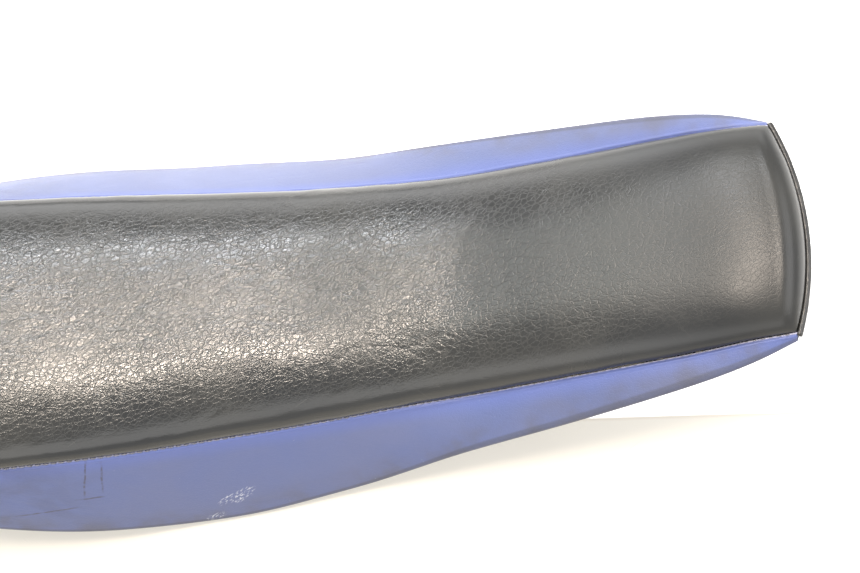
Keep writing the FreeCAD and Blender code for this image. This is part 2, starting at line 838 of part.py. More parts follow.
def make_frame_tongue():
    """Stepped steel strap whose free end slips under a frame tube."""
    body = document.addObject("PartDesign::Body", "frame_tongue")
    bind_place(body, x="dims.tongue_x", z="dims.tongue_top")
    front, rear = "-dims.tongue_base / 2", "dims.tongue_base / 2"
    thick = "dims.tongue_thick"
    profile = new_sketch(body, "tongue_profile", "XZ_Plane")
    add_polygon(profile, [
        (rear, "0"),
        (front, "0"),
        (front, "-dims.tongue_drop"),
        (f"{front} - dims.tongue_reach", "-dims.tongue_drop"),
        (f"{front} - dims.tongue_reach", f"-dims.tongue_drop - {thick}"),
        (f"{front} + {thick}", f"-dims.tongue_drop - {thick}"),
        (f"{front} + {thick}", f"-{thick}"),
        (rear, f"-{thick}"),
    ])
    add_pad(body, profile, "dims.tongue_width", both_sides=True)
    holes = new_sketch(body, "tongue_holes", "XY_Plane")
    for sign in ("", "-"):
        add_circle(holes, "0", f"{sign}dims.tongue_screw_half", "dims.screw_hole")
    add_through_cut(body, holes)
    tip = -size("tongue_base") / 2 - size("tongue_reach")
    corners = corner_edges(body, "x", tip, size("tongue_thick"))
    round_edges(body, corners, "dims.tongue_reach / 4")
    keep(body, "frame_tongue")


def make_brackets():
    """Bent steel brackets under the pan that carry the mounting bolts."""
    body = document.addObject("PartDesign::Body", "right_bracket")
    bind_place(body, "dims.bracket_x", "dims.bracket_outer", "dims.bracket_top")
    thick, leg = "dims.bracket_thick", "dims.bracket_leg"
    profile = new_sketch(body, "bracket_profile", "YZ_Plane")
    add_polygon(profile, [("0", "0"), ("-dims.bracket_depth", "0"),
                          ("-dims.bracket_depth", f"-{thick}"), (f"-{thick}", f"-{thick}"),
                          (f"-{thick}", f"-{leg}"), ("0", f"-{leg}")])
    add_pad(body, profile, "dims.bracket_width", both_sides=True)
    bolt_hole = new_sketch(body, "bracket_bolt_hole", "XZ_Plane")
    add_circle(bolt_hole, "0", "dims.bolt_height - dims.bracket_top", "dims.hole_radius")
    add_through_cut(body, bolt_hole)
    screw_holes = new_sketch(body, "bracket_screw_holes", "XY_Plane")
    for sign in ("", "-"):
        inward = "dims.bracket_screw_y - dims.bracket_outer"
        add_circle(screw_holes, f"{sign}dims.bracket_screw_half", inward, "dims.screw_hole")
    add_through_cut(body, screw_holes)
    corners = corner_edges(body, "z", -size("bracket_leg"), size("bracket_thick"))
    round_edges(body, corners, "dims.bracket_width / 3")
    keep(body, "right_bracket")
    mirrored_part(body, "left_bracket")


def face_outwards(body, offset):
    """Puts a turned part on the right bolt's axis, its own Z axis pointing outwards."""
    middle = "dims.bracket_outer - dims.bracket_thick / 2"
    body.Placement = Placement(Vector(), Rotation(Vector(1, 0, 0), -90))
    bind_place(body, "dims.bracket_x", f"{middle} + {offset}", "dims.bolt_height")


def make_bolt_seats():
    """A grooved rubber grommet in each bracket and the steel collar through it."""
    half, groove = "dims.grommet_length / 2", "dims.grommet_groove / 2"
    grommet = turned_body("right_grommet", [
        ("dims.grommet_bore", f"-{half}"),
        ("dims.grommet_radius", f"-{half}"),
        ("dims.grommet_radius", f"-{groove}"),
        ("dims.grommet_neck", f"-{groove}"),
        ("dims.grommet_neck", groove),
        ("dims.grommet_radius", groove),
        ("dims.grommet_radius", half),
        ("dims.grommet_bore", half),
    ])
    face_outwards(grommet, "0")
    keep(grommet, "right_grommet")
    mirrored_part(grommet, "left_grommet")
    seat = f"{half} + dims.face_gap"
    collar = turned_body("right_collar", [
        ("dims.collar_bore", f"-{half} - dims.bolt_tip"),
        ("dims.collar_radius", f"-{half} - dims.bolt_tip"),
        ("dims.collar_radius", seat),
        ("dims.collar_flange", seat),
        ("dims.collar_flange", f"{seat} + dims.collar_flange_thick"),
        ("dims.collar_bore", f"{seat} + dims.collar_flange_thick"),
    ])
    face_outwards(collar, "0")
    keep(collar, "right_collar")
    mirrored_part(collar, "left_collar")


def make_bolts():
    """The two mounting bolts, each with the washer that it carries."""
    washer_face = "dims.grommet_length / 2 + 2 * dims.face_gap + dims.collar_flange_thick"
    washer = turned_body("right_bolt_washer", [
        ("dims.washer_bore", "0"),
        ("dims.washer_radius", "0"),
        ("dims.washer_radius", "dims.washer_thick"),
        ("dims.washer_bore", "dims.washer_thick"),
    ])
    face_outwards(washer, washer_face)
    keep(washer, "right_bolt_washer")
    mirrored_part(washer, "left_bolt_washer")
    bolt = turned_body("right_mounting_bolt", [
        ("0", "-dims.bolt_length"),
        ("dims.bolt_radius - dims.bolt_tip", "-dims.bolt_length"),
        ("dims.bolt_radius", "-dims.bolt_length + dims.bolt_tip"),
        ("dims.bolt_radius", "0"),
        ("dims.bolt_flange", "0"),
        ("dims.bolt_flange", "dims.bolt_flange_thick / 2"),
        ("dims.bolt_hex / 2", "dims.bolt_flange_thick"),
        ("0", "dims.bolt_flange_thick"),
    ])
    head = new_sketch(bolt, "bolt_hexagon", "XY_Plane")
    corner = "dims.bolt_hex / (2 * cos(30 deg))"
    turns = [number * 360 / HEX_SIDES for number in range(HEX_SIDES)]
    add_polygon(head, [(f"{corner} * cos({turn} deg)", f"{corner} * sin({turn} deg)")
                       for turn in turns])
    add_pad(bolt, head, "dims.bolt_flange_thick + dims.bolt_head")
    face_outwards(bolt, f"{washer_face} + dims.washer_thick + dims.face_gap")
    keep(bolt, "right_mounting_bolt")
    mirrored_part(bolt, "left_mounting_bolt")


# ---------------------------------------------------------------- screws, washers, inserts, buffers


def primitive(kind, name, place, **expressions):
    """A Part primitive bound to the sheet and set down at a point."""
    item = document.addObject(kind, name)
    bind(item, **expressions)
    item.Placement = Placement(place, Rotation())
    return item


def ring(name, place, outer, inner, height):
    """A tube: a washer or an insert."""
    part = document.addObject("Part::Cut", name)
    part.Base = primitive("Part::Cylinder", f"{name}_outer", place, Radius=outer, Height=height)
    part.Tool = primitive("Part::Cylinder", f"{name}_bore", place, Radius=inner, Height=height)
    return part


def group(label, items):
    """Identical loose pieces kept together in one sub-part."""
    part = document.addObject("Part::Compound", label)
    part.Links = items
    return keep(part, label)


def hex_screw(name, under_head):
    """An M6 screw pointing up, its head hanging below the given point."""
    pieces = []
    pieces.append(primitive("Part::Cylinder", f"{name}_shank", under_head,
                            Radius="dims.bolt_radius", Height="dims.screw_length"))
    below = under_head - Vector(0, 0, size("bolt_flange_thick"))
    pieces.append(primitive("Part::Cylinder", f"{name}_flange", below,
                            Radius="dims.screw_flange", Height="dims.bolt_flange_thick"))
    head = primitive("Part::Prism", f"{name}_head", below - Vector(0, 0, size("screw_head")),
                     Circumradius="dims.bolt_hex / (2 * cos(30 deg))", Height="dims.screw_head")
    head.Polygon = HEX_SIDES
    pieces.append(head)
    screw = document.addObject("Part::MultiFuse", name)
    screw.Shapes = pieces
    return screw


def make_fasteners():
    """Inserts in the pan's bosses, and the screws and washers below the steel parts."""
    inserts = []
    by_owner = {"bracket": [], "tongue": [], "hook": []}
    for number, place in enumerate(screw_places()):
        lifted = place + Vector(0, 0, size("face_gap"))
        inserts.append(ring(f"insert_{number}", lifted, "dims.insert_radius",
                            "dims.insert_bore", "dims.insert_length - dims.face_gap"))
        if place.z == size("bracket_top"):
            by_owner["bracket"].append(place)
        elif place.z == size("tongue_top"):
            by_owner["tongue"].append(place)
        else:
            by_owner["hook"].append(place)
    group("threaded_inserts", inserts)
    for owner, places in by_owner.items():
        washers = []
        screws = []
        for number, place in enumerate(places):
            plate = size(f"{owner}_thick")
            washer_top = place - Vector(0, 0, plate + size("face_gap"))
            washer_low = washer_top - Vector(0, 0, size("small_washer_thick"))
            washers.append(ring(f"{owner}_washer_{number}", washer_low, "dims.small_washer",
                                "dims.screw_hole", "dims.small_washer_thick"))
            under_head = washer_low - Vector(0, 0, size("face_gap"))
            screws.append(hex_screw(f"{owner}_screw_{number}", under_head))
        group(f"{owner}_washers", washers)
        group(f"{owner}_screws", screws)


def make_buffers():
    """Rubber buffers pressed into the pan, which rest on the frame."""
    for which in ("front", "rear"):
        buffers = []
        for number, top in enumerate(buffer_places(which)):
            name = f"{which}_buffer_{number}"
            bottom = top - Vector(0, 0, size("buffer_height") + size("face_gap"))
            rim = bottom + Vector(0, 0, size("buffer_chamfer"))
            block = "dims.buffer_height - dims.buffer_chamfer"
            pieces = [
                primitive("Part::Cone", f"{name}_foot", bottom, Height="dims.buffer_chamfer",
                          Radius1="dims.buffer_radius - dims.buffer_chamfer",
                          Radius2="dims.buffer_radius"),
                primitive("Part::Cylinder", f"{name}_block", rim, Radius="dims.buffer_radius",
                          Height=block),
                primitive("Part::Cylinder", f"{name}_stem", rim, Radius="dims.stem_radius",
                          Height=f"{block} + dims.stem_length"),
            ]
            buffer = document.addObject("Part::MultiFuse", name)
            buffer.Shapes = pieces
            buffers.append(buffer)
        group(f"{which}_buffers", buffers)


# ---------------------------------------------------------------- build, check and write


def check_document():
    """Stops the build if any object failed or any sub-part has no valid shape."""
    document.recompute()
    for item in document.Objects:
        if "Invalid" in item.State or "Error" in item.State:
            raise RuntimeError(f"{item.Label} failed: {item.State}")
    for part in sub_parts:
        if part.Shape.isNull() or not part.Shape.isValid():
            raise RuntimeError(f"{part.Label} has no valid shape")


def write_parts():
    """Writes each sub-part to its own file."""
    os.makedirs("parts", exist_ok=True)
    for part in sub_parts:
        part.Shape.exportStep(f"parts/{part.Label}.step")
        print(f"{part.Label}: {len(part.Shape.Solids)} solids, {part.Shape.Volume / 1000:.2f} cm3")


fill_sheet()
tracks = read_tracks()
make_cover()
make_piping()
make_stitches()
make_staples()
shaped_part("foam_pad", foam_shape())
shaped_part("seat_pan", pan_shape())
make_tank_hook()
make_frame_tongue()
make_brackets()
make_bolt_seats()
make_bolts()
make_fasteners()
make_buffers()
check_document()
write_parts()
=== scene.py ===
# The looks of a dual-sport motorcycle seat: a sewn vinyl cover in black and blue, stretched over
# foam, with the pan and the steel and rubber fittings of the CAD frame underneath.
# Metres. +X runs to the rear of the seat, +Y to the rider's right and +Z up.

import json
import math
from functools import reduce

import bpy
import numpy as np
from mathutils import Matrix, Vector
from mathutils.bvhtree import BVHTree


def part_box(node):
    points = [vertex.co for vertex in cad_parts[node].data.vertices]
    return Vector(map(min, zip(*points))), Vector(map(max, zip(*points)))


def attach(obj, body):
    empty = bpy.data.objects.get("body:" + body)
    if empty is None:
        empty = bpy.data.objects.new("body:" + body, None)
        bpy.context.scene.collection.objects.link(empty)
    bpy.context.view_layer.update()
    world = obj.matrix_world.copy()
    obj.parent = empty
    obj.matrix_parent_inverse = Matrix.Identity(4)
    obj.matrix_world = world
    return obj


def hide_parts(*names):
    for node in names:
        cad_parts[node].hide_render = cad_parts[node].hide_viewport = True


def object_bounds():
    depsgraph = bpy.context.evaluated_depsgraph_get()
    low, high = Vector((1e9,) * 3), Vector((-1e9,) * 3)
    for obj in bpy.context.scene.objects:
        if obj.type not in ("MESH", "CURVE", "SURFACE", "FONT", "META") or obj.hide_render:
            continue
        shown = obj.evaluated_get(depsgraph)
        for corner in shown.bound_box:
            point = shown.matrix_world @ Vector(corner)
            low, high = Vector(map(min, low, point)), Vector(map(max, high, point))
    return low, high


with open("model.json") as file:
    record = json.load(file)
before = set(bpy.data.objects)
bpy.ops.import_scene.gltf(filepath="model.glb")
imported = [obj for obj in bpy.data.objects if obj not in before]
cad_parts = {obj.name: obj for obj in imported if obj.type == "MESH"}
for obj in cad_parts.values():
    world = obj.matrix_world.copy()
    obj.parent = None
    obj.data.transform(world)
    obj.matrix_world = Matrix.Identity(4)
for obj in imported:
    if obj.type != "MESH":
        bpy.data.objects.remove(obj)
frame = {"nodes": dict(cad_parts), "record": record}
cad_box = [list(corner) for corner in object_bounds()]

MM = 0.001
COVER_THICK = 1.2 * MM

# Shape of the cover between its seams; the rest of its shape is measured on the CAD panels.
CROWN_POWER = 3.0
RISE_POWER = 2.4
BULGE_RUN = 110 * MM
NOSE_ROLL = 22 * MM
REAR_ROLL = 13 * MM
PANEL_END_GAP = 2.6 * MM
SIDE_END_GAP = 0.15 * MM
SEAM_GAP = 0.4 * MM
BEND_RADIUS = 4 * MM
SMALL_BEND = 3 * MM
BEND_RUN = 60 * MM
HEM_WIDTH = 16 * MM
LEAST_HEM = 0.5 * MM
SIDE_FULLNESS = 0.03
WRAP_APPROACHES = 12

# How finely the cover is meshed.
FINE_STEP = 0.5 * MM
ROW_STEP = 1.5 * MM
STEP_GROWTH = 1.25
ROLL_ROWS = 26
WALL_ROWS = 8
BEND_ROWS = 8
HEM_ROWS = 10

# Relief of the sewn cover.
SEAM_GROOVE = 0.6 * MM
SEAM_GROOVE_WIDTH = 1.5 * MM
SEAM_RIDGE = 0.45 * MM
SEAM_RIDGE_PLACE = 2.4 * MM
SEAM_RIDGE_WIDTH = 0.9 * MM
DIMPLE_DEPTH = 0.18 * MM
DIMPLE_WIDTH = 1.6 * MM
PUCKER_DEPTH = 0.35 * MM
PUCKER_REACH = 10 * MM
PUCKER_START = 2 * MM
PUCKER_SIZE = (13 * MM, 30 * MM)
SWELL_DEPTH = 0.3 * MM
TOP_SWELL = (62 * MM, 34 * MM)
SIDE_SWELL = (75 * MM, 38 * MM)
TOP_INLAND = 14 * MM
SIDE_INLAND = 10 * MM
CREASE_DEPTH = 0.16 * MM
CREASE_TURN = math.radians(24)
CREASE_WIDTH = 9 * MM
CREASES_FROM = 380 * MM
CREASES_TO = 560 * MM
CREASES_FADE = 0.85
SIDE_CREASE_DEPTH = 0.6 * CREASE_DEPTH
SIDE_CREASE = (55 * MM, 12 * MM, 0.5)
LOWER_WAVE_DEPTH = 0.7 * MM
LOWER_WAVE_LENGTH = 40 * MM
LOWER_WAVE_REACH = 16 * MM
RIPPLE_DEPTH = 0.15 * MM
RIPPLE_SIZE = (11 * MM, 20 * MM)

# Seeds of the noise; a side panel adds its hand, 1 or -1, to its own.
TOP_SIDE_SEED = 11
TOP_REAR_SEED = 12
TOP_SWELL_SEED = 13
SIDE_SWELL_SEED = 31
SIDE_SEAM_SEED = 32
SIDE_CREASE_SEED = 35
LOWER_WAVE_SEED = 41
RIPPLE_SEED = 51
WELT_SEED = 61

# Creases of the top: turn, length and seed.
TOP_CREASES = [
    (CREASE_TURN, 70 * MM, 21),
    (-0.4 * CREASE_TURN, 45 * MM, 24),
]

# Cloth simulation of the cover.
CLOTH_STEP = 7 * MM
CLOTH_TOP_COLUMNS = 31
CLOTH_SIDE_COLUMNS = 13
CLOTH_FRAMES = 20
CLOTH_PRESSURE = 0.5
CLOTH_MASS = 0.3
CLOTH_QUALITY = 6
CLOTH_STRETCH = 30
CLOTH_SHEAR = 12
CLOTH_BENDING = 2
CLOTH_CAP = 0.8 * MM
CLOTH_SMOOTHING = 4

# Foam pad under the cover.
FOAM_VOXEL = 6 * MM
FOAM_SHRINK = 1.5 * MM
FOAM_CAP = 1.0 * MM

# Depth of the black vinyl's grain.
GRAIN_DEPTH = 0.12 * MM

# Threads and welt.
STITCH_PITCH = 5 * MM
STITCH_LENGTH = 3.4 * MM
STITCH_STEPS = 7
THREAD_RADIUS = 0.3 * MM
THREAD_SIDES = 8
THREAD_LIFT = 0.35 * MM
THREAD_DIVE = 1.1 * MM
WELT_OVERHANG = 1.2 * MM
WELT_STEPS = 261
WELT_SIDES = 20
WELT_CREASE_LENGTH = 3 * MM
WELT_CREASE_DEPTH = 0.07 * MM
WELT_INSET = 0.05 * MM
WELT_TAPER = 1.5 * MM


# ---------------------------------------------------------------- measuring the CAD frame


def vertex_places(mesh):
    """The places of a mesh's vertices, one row each."""
    places = np.empty(len(mesh.vertices) * 3)
    mesh.vertices.foreach_get("co", places)
    return places.reshape(-1, 3)


def node_edges(node):
    """The two end points of every mesh edge of a CAD node."""
    mesh = frame["nodes"][node].data
    points = vertex_places(mesh)
    edges = np.empty(len(mesh.edges) * 2, dtype=int)
    mesh.edges.foreach_get("vertices", edges)
    edges = edges.reshape(-1, 2)
    return points[edges[:, 0]], points[edges[:, 1]]


def cut_points(edges, place):
    """Where a plane across the length of the seat cuts the edges of a mesh."""
    start, end = edges
    before, after = start[:, 0] - place, end[:, 0] - place
    cut = (before * after <= 0) & (before != after)
    share = before[cut] / (before[cut] - after[cut])
    return start[cut] + (end[cut] - start[cut]) * share[:, None]


class Track:
    """A measured size along the seat, smoothed and read back on a smooth curve."""

    def __init__(self, places, values):
        padded = np.concatenate([2 * values[0] - values[3:0:-1], values,
                                 2 * values[-1] - values[-2:-5:-1]])
        weights = np.array([1, 2, 3, 4, 3, 2, 1]) / 16
        self.places = places
        self.values = np.convolve(padded, weights, mode="valid")
        self.slopes = np.gradient(self.values, places)

    def at(self, x):
        """The size at x; beyond the first or last place it runs on in a straight line."""
        inside = min(max(x, self.places[0]), self.places[-1])
        i = int(np.searchsorted(self.places, inside, side="right")) - 1
        i = min(i, len(self.places) - 2)
        span = self.places[i + 1] - self.places[i]
        t = (inside - self.places[i]) / span
        value = ((2 * t**3 - 3 * t**2 + 1) * self.values[i]
                 + (3 * t**2 - 2 * t**3) * self.values[i + 1]
                 + (t**3 - 2 * t**2 + t) * span * self.slopes[i]
                 + (t**3 - t**2) * span * self.slopes[i + 1])
        end_slope = self.slopes[0] if x < inside else self.slopes[-1]
        return value + (x - inside) * end_slope


MEASURE_STEP = 4 * MM
side_low, side_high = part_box("right_side_panel")
top_low, top_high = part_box("top_cover_panel")
NOSE_X = side_low.x - PANEL_END_GAP
REAR_X = side_high.x + PANEL_END_GAP
NOSE_BULGE = NOSE_X - top_low.x
REAR_BULGE = top_high.x - REAR_X


def bulge(x):
    """How far the middle of a cross-section stands beyond its seams."""
    nose_share = max(0.0, 1 - (x - NOSE_X) / BULGE_RUN)
    rear_share = max(0.0, 1 - (REAR_X - x) / BULGE_RUN)
    return REAR_BULGE * rear_share**2 - NOSE_BULGE * nose_share**2


def measure_sides():
    """Tracks of the seam and of the lower edge, measured on the right side panel."""
    edges = node_edges("right_side_panel")
    places = np.arange(side_low.x + 1 * MM, side_high.x - 1 * MM, MEASURE_STEP)
    rows = []
    for x in places:
        cut = cut_points(edges, x)
        seam = cut[cut[:, 2].argmax()]
        rows.append((seam[1], seam[2], cut[:, 1].max(), cut[:, 2].min()))
    return [Track(places, column) for column in np.array(rows).T]


seam_half, seam_height, edge_half, edge_height = measure_sides()


def measure_crown():
    """Track of the top panel's height over its seams, along the middle."""
    graph = bpy.context.evaluated_depsgraph_get()
    tree = BVHTree.FromObject(frame["nodes"]["top_cover_panel"], graph)
    places = np.arange(NOSE_X + NOSE_ROLL, REAR_X - REAR_ROLL, MEASURE_STEP)
    heights = []
    for x in places:
        hit = tree.ray_cast(Vector((x + bulge(x), 0, 1)), Vector((0, 0, -1)))[0]
        heights.append(hit.z - seam_height.at(x))
    return Track(places, np.array(heights))


crown_track = measure_crown()


def crown(x):
    """Height of the top over its seams before the ends roll down."""
    return crown_track.at(min(max(x, crown_track.places[0]), crown_track.places[-1]))


# ---------------------------------------------------------------- numbers on grids


def graded(length, both_ends):
    """Shares of a length whose steps grow from fine at a seam to coarse further away."""
    steps = [FINE_STEP]
    target = length / 2 if both_ends else length
    while sum(steps) < target:
        steps.append(min(steps[-1] * STEP_GROWTH, ROW_STEP))
    spots = np.concatenate([[0], np.cumsum(steps)]) * target / sum(steps)
    if both_ends:
        spots = np.concatenate([spots, length - spots[-2::-1]])
    return spots / length


def resample(values, spots):
    """Reads rows of values at fractional row numbers, on a smooth curve."""
    last = len(values) - 1
    i = np.clip(np.floor(spots).astype(int), 0, last - 1)
    t = (spots - i).reshape((-1,) + (1,) * (values.ndim - 1))
    before, start, end, after = (values[np.clip(i + k, 0, last)] for k in (-1, 0, 1, 2))
    bend = 2 * before - 5 * start + 4 * end - after
    turn = 3 * (start - end) + after - before
    return start + 0.5 * t * (end - before + t * (bend + t * turn))


def lattice(seed):
    """A square of random numbers from -1 to 1 that noise is read from."""
    return np.random.default_rng(seed).uniform(-1, 1, (256, 256))


def noise_at(u, v, seed):
    """Smooth noise from -1 to 1 with features one unit wide."""
    values = lattice(seed)
    i, j = np.floor(u).astype(int), np.floor(v).astype(int)
    s, t = u - i, v - j
    s, t = s * s * (3 - 2 * s), t * t * (3 - 2 * t)
    low = values[i % 256, j % 256] * (1 - s) + values[(i + 1) % 256, j % 256] * s
    high = values[i % 256, (j + 1) % 256] * (1 - s) + values[(i + 1) % 256, (j + 1) % 256] * s
    return low * (1 - t) + high * t


def crease_at(u, v, length, width, turn, seed):
    """Long narrow creases from 0 to 1, lying at an angle to the seat."""
    along = (u * math.cos(turn) + v * math.sin(turn)) / length
    across = (v * math.cos(turn) - u * math.sin(turn)) / width
    sway = 0.6 * noise_at(along * 0.7, across * 0.25, seed + 1)
    ridge = 1 - np.abs(noise_at(along, across + sway, seed))
    return np.clip((ridge - 0.86) / 0.14, 0, 1) ** 1.5


def bell(distance, width):
    """1 at no distance, falling away smoothly over a width."""
    return np.exp(-((distance / width) ** 2))


def grid_normals(grid, outward):
    """Unit normals of a grid of points, on the side that an outward direction points to."""
    normals = np.cross(np.gradient(grid, axis=0), np.gradient(grid, axis=1))
    lengths = np.linalg.norm(normals, axis=2, keepdims=True)
    normals = normals / np.maximum(lengths, 1e-12)
    middle = normals[normals.shape[0] // 2, normals.shape[1] // 2]
    return normals if np.dot(middle, outward) > 0 else -normals


def distances(grid, axis):
    """Distance of each grid point from the first row or column, along the surface."""
    steps = np.linalg.norm(np.diff(grid, axis=axis), axis=2)
    start = np.zeros_like(steps[:1] if axis == 0 else steps[:, :1])
    return np.concatenate([start, np.cumsum(steps, axis=axis)], axis=axis)


# ---------------------------------------------------------------- the cover's surfaces


def crown_angles(shares):
    """Angles over the crown, from the left seam to the right, at shares of the way across."""
    dense = np.radians(np.linspace(-90, 90, 2001))
    half, rise = seam_half.at(MIDDLE_X), crown(MIDDLE_X)
    across = half * np.sign(dense) * np.abs(np.sin(dense)) ** (2 / CROWN_POWER)
    up = rise * np.abs(np.cos(dense)) ** (2 / RISE_POWER)
    length = np.concatenate([[0], np.cumsum(np.hypot(np.diff(across), np.diff(up)))])
    return np.interp(shares * length[-1], length, dense)


def reach_of(angles):
    """Shares of the half width at angles over the crown."""
    return np.sign(angles) * np.abs(np.sin(angles)) ** (2 / CROWN_POWER)


def top_section(x, roll, angles):
    """Points across the top panel at x, with the crown turned down by a roll angle."""
    reach = reach_of(angles)
    rise = np.abs(np.cos(angles)) ** (2 / RISE_POWER)
    points = np.empty((len(angles), 3))
    points[:, 0] = x + bulge(x) * (1 - reach**2)
    points[:, 1] = reach * seam_half.at(x)
    points[:, 2] = seam_height.at(x) + crown(x) * math.cos(roll) * rise
    return points


def bend_at(x):
    """Radius of the cover's bend round the pan's edge."""
    return SMALL_BEND + (BEND_RADIUS - SMALL_BEND) * min(1.0, (REAR_X - x) / BEND_RUN)


def flange_edge(x):
    """Half width of the pan at x."""
    return edge_half.at(x) - bend_at(x)


def hem_height(x, y):
    """Height of the hem's face under the pan at a place."""
    station = x
    for _ in range(WRAP_APPROACHES):
        reach = min(1.0, abs(y) / flange_edge(station))
        station = x - bulge(station) * (1 - reach**2)
    return edge_height.at(station)


def side_section(x, shares):
    """Points down the right side panel, from the seam, round the bend and along the hem."""
    bend = bend_at(x)
    centre_y, centre_z = flange_edge(x), edge_height.at(x) + bend
    across, up = centre_y - seam_half.at(x), centre_z - seam_height.at(x)
    distance = math.hypot(across, up)
    lean = math.atan2(up, across) + math.asin(min(1.0, bend / distance))
    run = math.sqrt(max(distance**2 - bend**2, MM**2))
    full = SIDE_FULLNESS * run * 4 * shares * (1 - shares)
    straight = np.empty((len(shares), 3))
    straight[:, 1] = seam_half.at(x) + run * shares * math.cos(lean) - full * math.sin(lean)
    straight[:, 2] = seam_height.at(x) + run * shares * math.sin(lean) + full * math.cos(lean)
    angles = np.linspace(lean + math.pi / 2, -math.pi / 2, BEND_ROWS + 1)[1:]
    turned = np.empty((BEND_ROWS, 3))
    turned[:, 1] = centre_y + bend * np.cos(angles)
    turned[:, 2] = centre_z + bend * np.sin(angles)
    clear = SMALL_BEND + PANEL_END_GAP
    width = max(LEAST_HEM, min(HEM_WIDTH, x - NOSE_X - clear, REAR_X - clear - x))
    hem = np.empty((HEM_ROWS, 3))
    hem[:, 1] = centre_y - width * np.linspace(0, 1, HEM_ROWS + 1)[1:]
    hem[:, 2] = [hem_height(x, y) for y in hem[:, 1]]
    points = np.vstack([straight, turned, hem])
    points[:, 0] = x
    return points


def wrap_column(toward, top_gap, reach):
    """Points of an end wrap from the seam down, round the pan's edge and along the hem."""
    end_x = REAR_X if toward > 0 else NOSE_X
    top_half, bottom_half = seam_half.at(end_x) - SEAM_GAP, edge_half.at(end_x) - SEAM_GAP
    out = end_x + bulge(end_x) * (1 - reach**2)
    top = seam_height.at(end_x) - top_gap
    bottom = hem_height(out - toward * SMALL_BEND, reach * (bottom_half - SMALL_BEND))
    points = []
    for share in np.linspace(0, 1, WALL_ROWS):
        half = top_half + (bottom_half - top_half) * share
        points.append((out, reach * half, top + (bottom + SMALL_BEND - top) * share))
    for lean in np.linspace(0, math.pi / 2, BEND_ROWS)[1:]:
        inset = SMALL_BEND * (1 - math.cos(lean))
        height = bottom + SMALL_BEND * (1 - math.sin(lean))
        points.append((out - toward * inset, reach * (bottom_half - inset), height))
    for share in np.linspace(0, 1, HEM_ROWS)[1:]:
        inset = SMALL_BEND + HEM_WIDTH * share
        x, y = out - toward * inset, reach * (bottom_half - inset)
        points.append((x, y, hem_height(x, y)))
    return points


def wrap_grid(toward, top_gap, angles):
    """The cover where it turns down an end of the seat and back under the pan."""
    columns = [wrap_column(toward, top_gap, reach) for reach in reach_of(angles)]
    return np.array(columns).transpose(1, 0, 2)


def roll_at(x):
    """The roll angle of the top's cross-section at x."""
    nose_depth = min(1.0, max(0.0, (NOSE_X + NOSE_ROLL - x) / NOSE_ROLL))
    rear_depth = min(1.0, max(0.0, (x - REAR_X + REAR_ROLL) / REAR_ROLL))
    return math.asin(rear_depth) - math.asin(nose_depth)


def row_places():
    """Places of the top's cross-sections, closer together where the ends roll down."""
    rolls = np.linspace(0, math.pi / 2, ROLL_ROWS)
    nose = NOSE_X + NOSE_ROLL * (1 - np.sin(rolls[::-1]))
    rear = REAR_X - REAR_ROLL * (1 - np.sin(rolls))
    count = int((rear[0] - nose[-1]) / ROW_STEP)
    level = np.linspace(nose[-1], rear[0], count + 1)
    return np.concatenate([nose, level[1:-1], rear])


MIDDLE_X = (NOSE_X + REAR_X) / 2


# ---------------------------------------------------------------- cloth simulation of the cover


def run_cloth(obj, pinned):
    """Steps a cloth simulation and returns how far each point moved."""
    start = vertex_places(obj.data)
    cloth = obj.modifiers.new("Cloth", "CLOTH")
    settings = cloth.settings
    settings.quality = CLOTH_QUALITY
    settings.mass = CLOTH_MASS
    settings.tension_stiffness = CLOTH_STRETCH
    settings.compression_stiffness = CLOTH_STRETCH
    settings.shear_stiffness = CLOTH_SHEAR
    settings.bending_stiffness = CLOTH_BENDING
    settings.use_pressure = True
    settings.uniform_pressure_force = CLOTH_PRESSURE
    settings.effector_weights.gravity = 0
    if pinned is not None:
        group = obj.vertex_groups.new(name="pinned")
        group.add([int(i) for i in pinned], 1.0, "REPLACE")
        settings.vertex_group_mass = "pinned"
    cloth.point_cache.frame_start = 1
    cloth.point_cache.frame_end = CLOTH_FRAMES
    for number in range(1, CLOTH_FRAMES + 1):
        bpy.context.scene.frame_set(number)
    evaluated = obj.evaluated_get(bpy.context.evaluated_depsgraph_get())
    end = vertex_places(evaluated.data)
    obj.modifiers.remove(cloth)
    bpy.context.scene.frame_set(1)
    return end - start


def cap_length(shift, limit):
    """Shortens every movement that is longer than the limit."""
    lengths = np.linalg.norm(shift, axis=-1, keepdims=True)
    return shift * np.minimum(1.0, limit / np.maximum(lengths, 1e-9))


def evened(shift, held):
    """Evens out a simulated movement between the seams, which stay where they are."""
    for _ in range(CLOTH_SMOOTHING):
        for axis in (0, 1):
            shift = (np.roll(shift, 1, axis) + 2 * shift + np.roll(shift, -1, axis)) / 4
        shift[held] = 0
    return shift


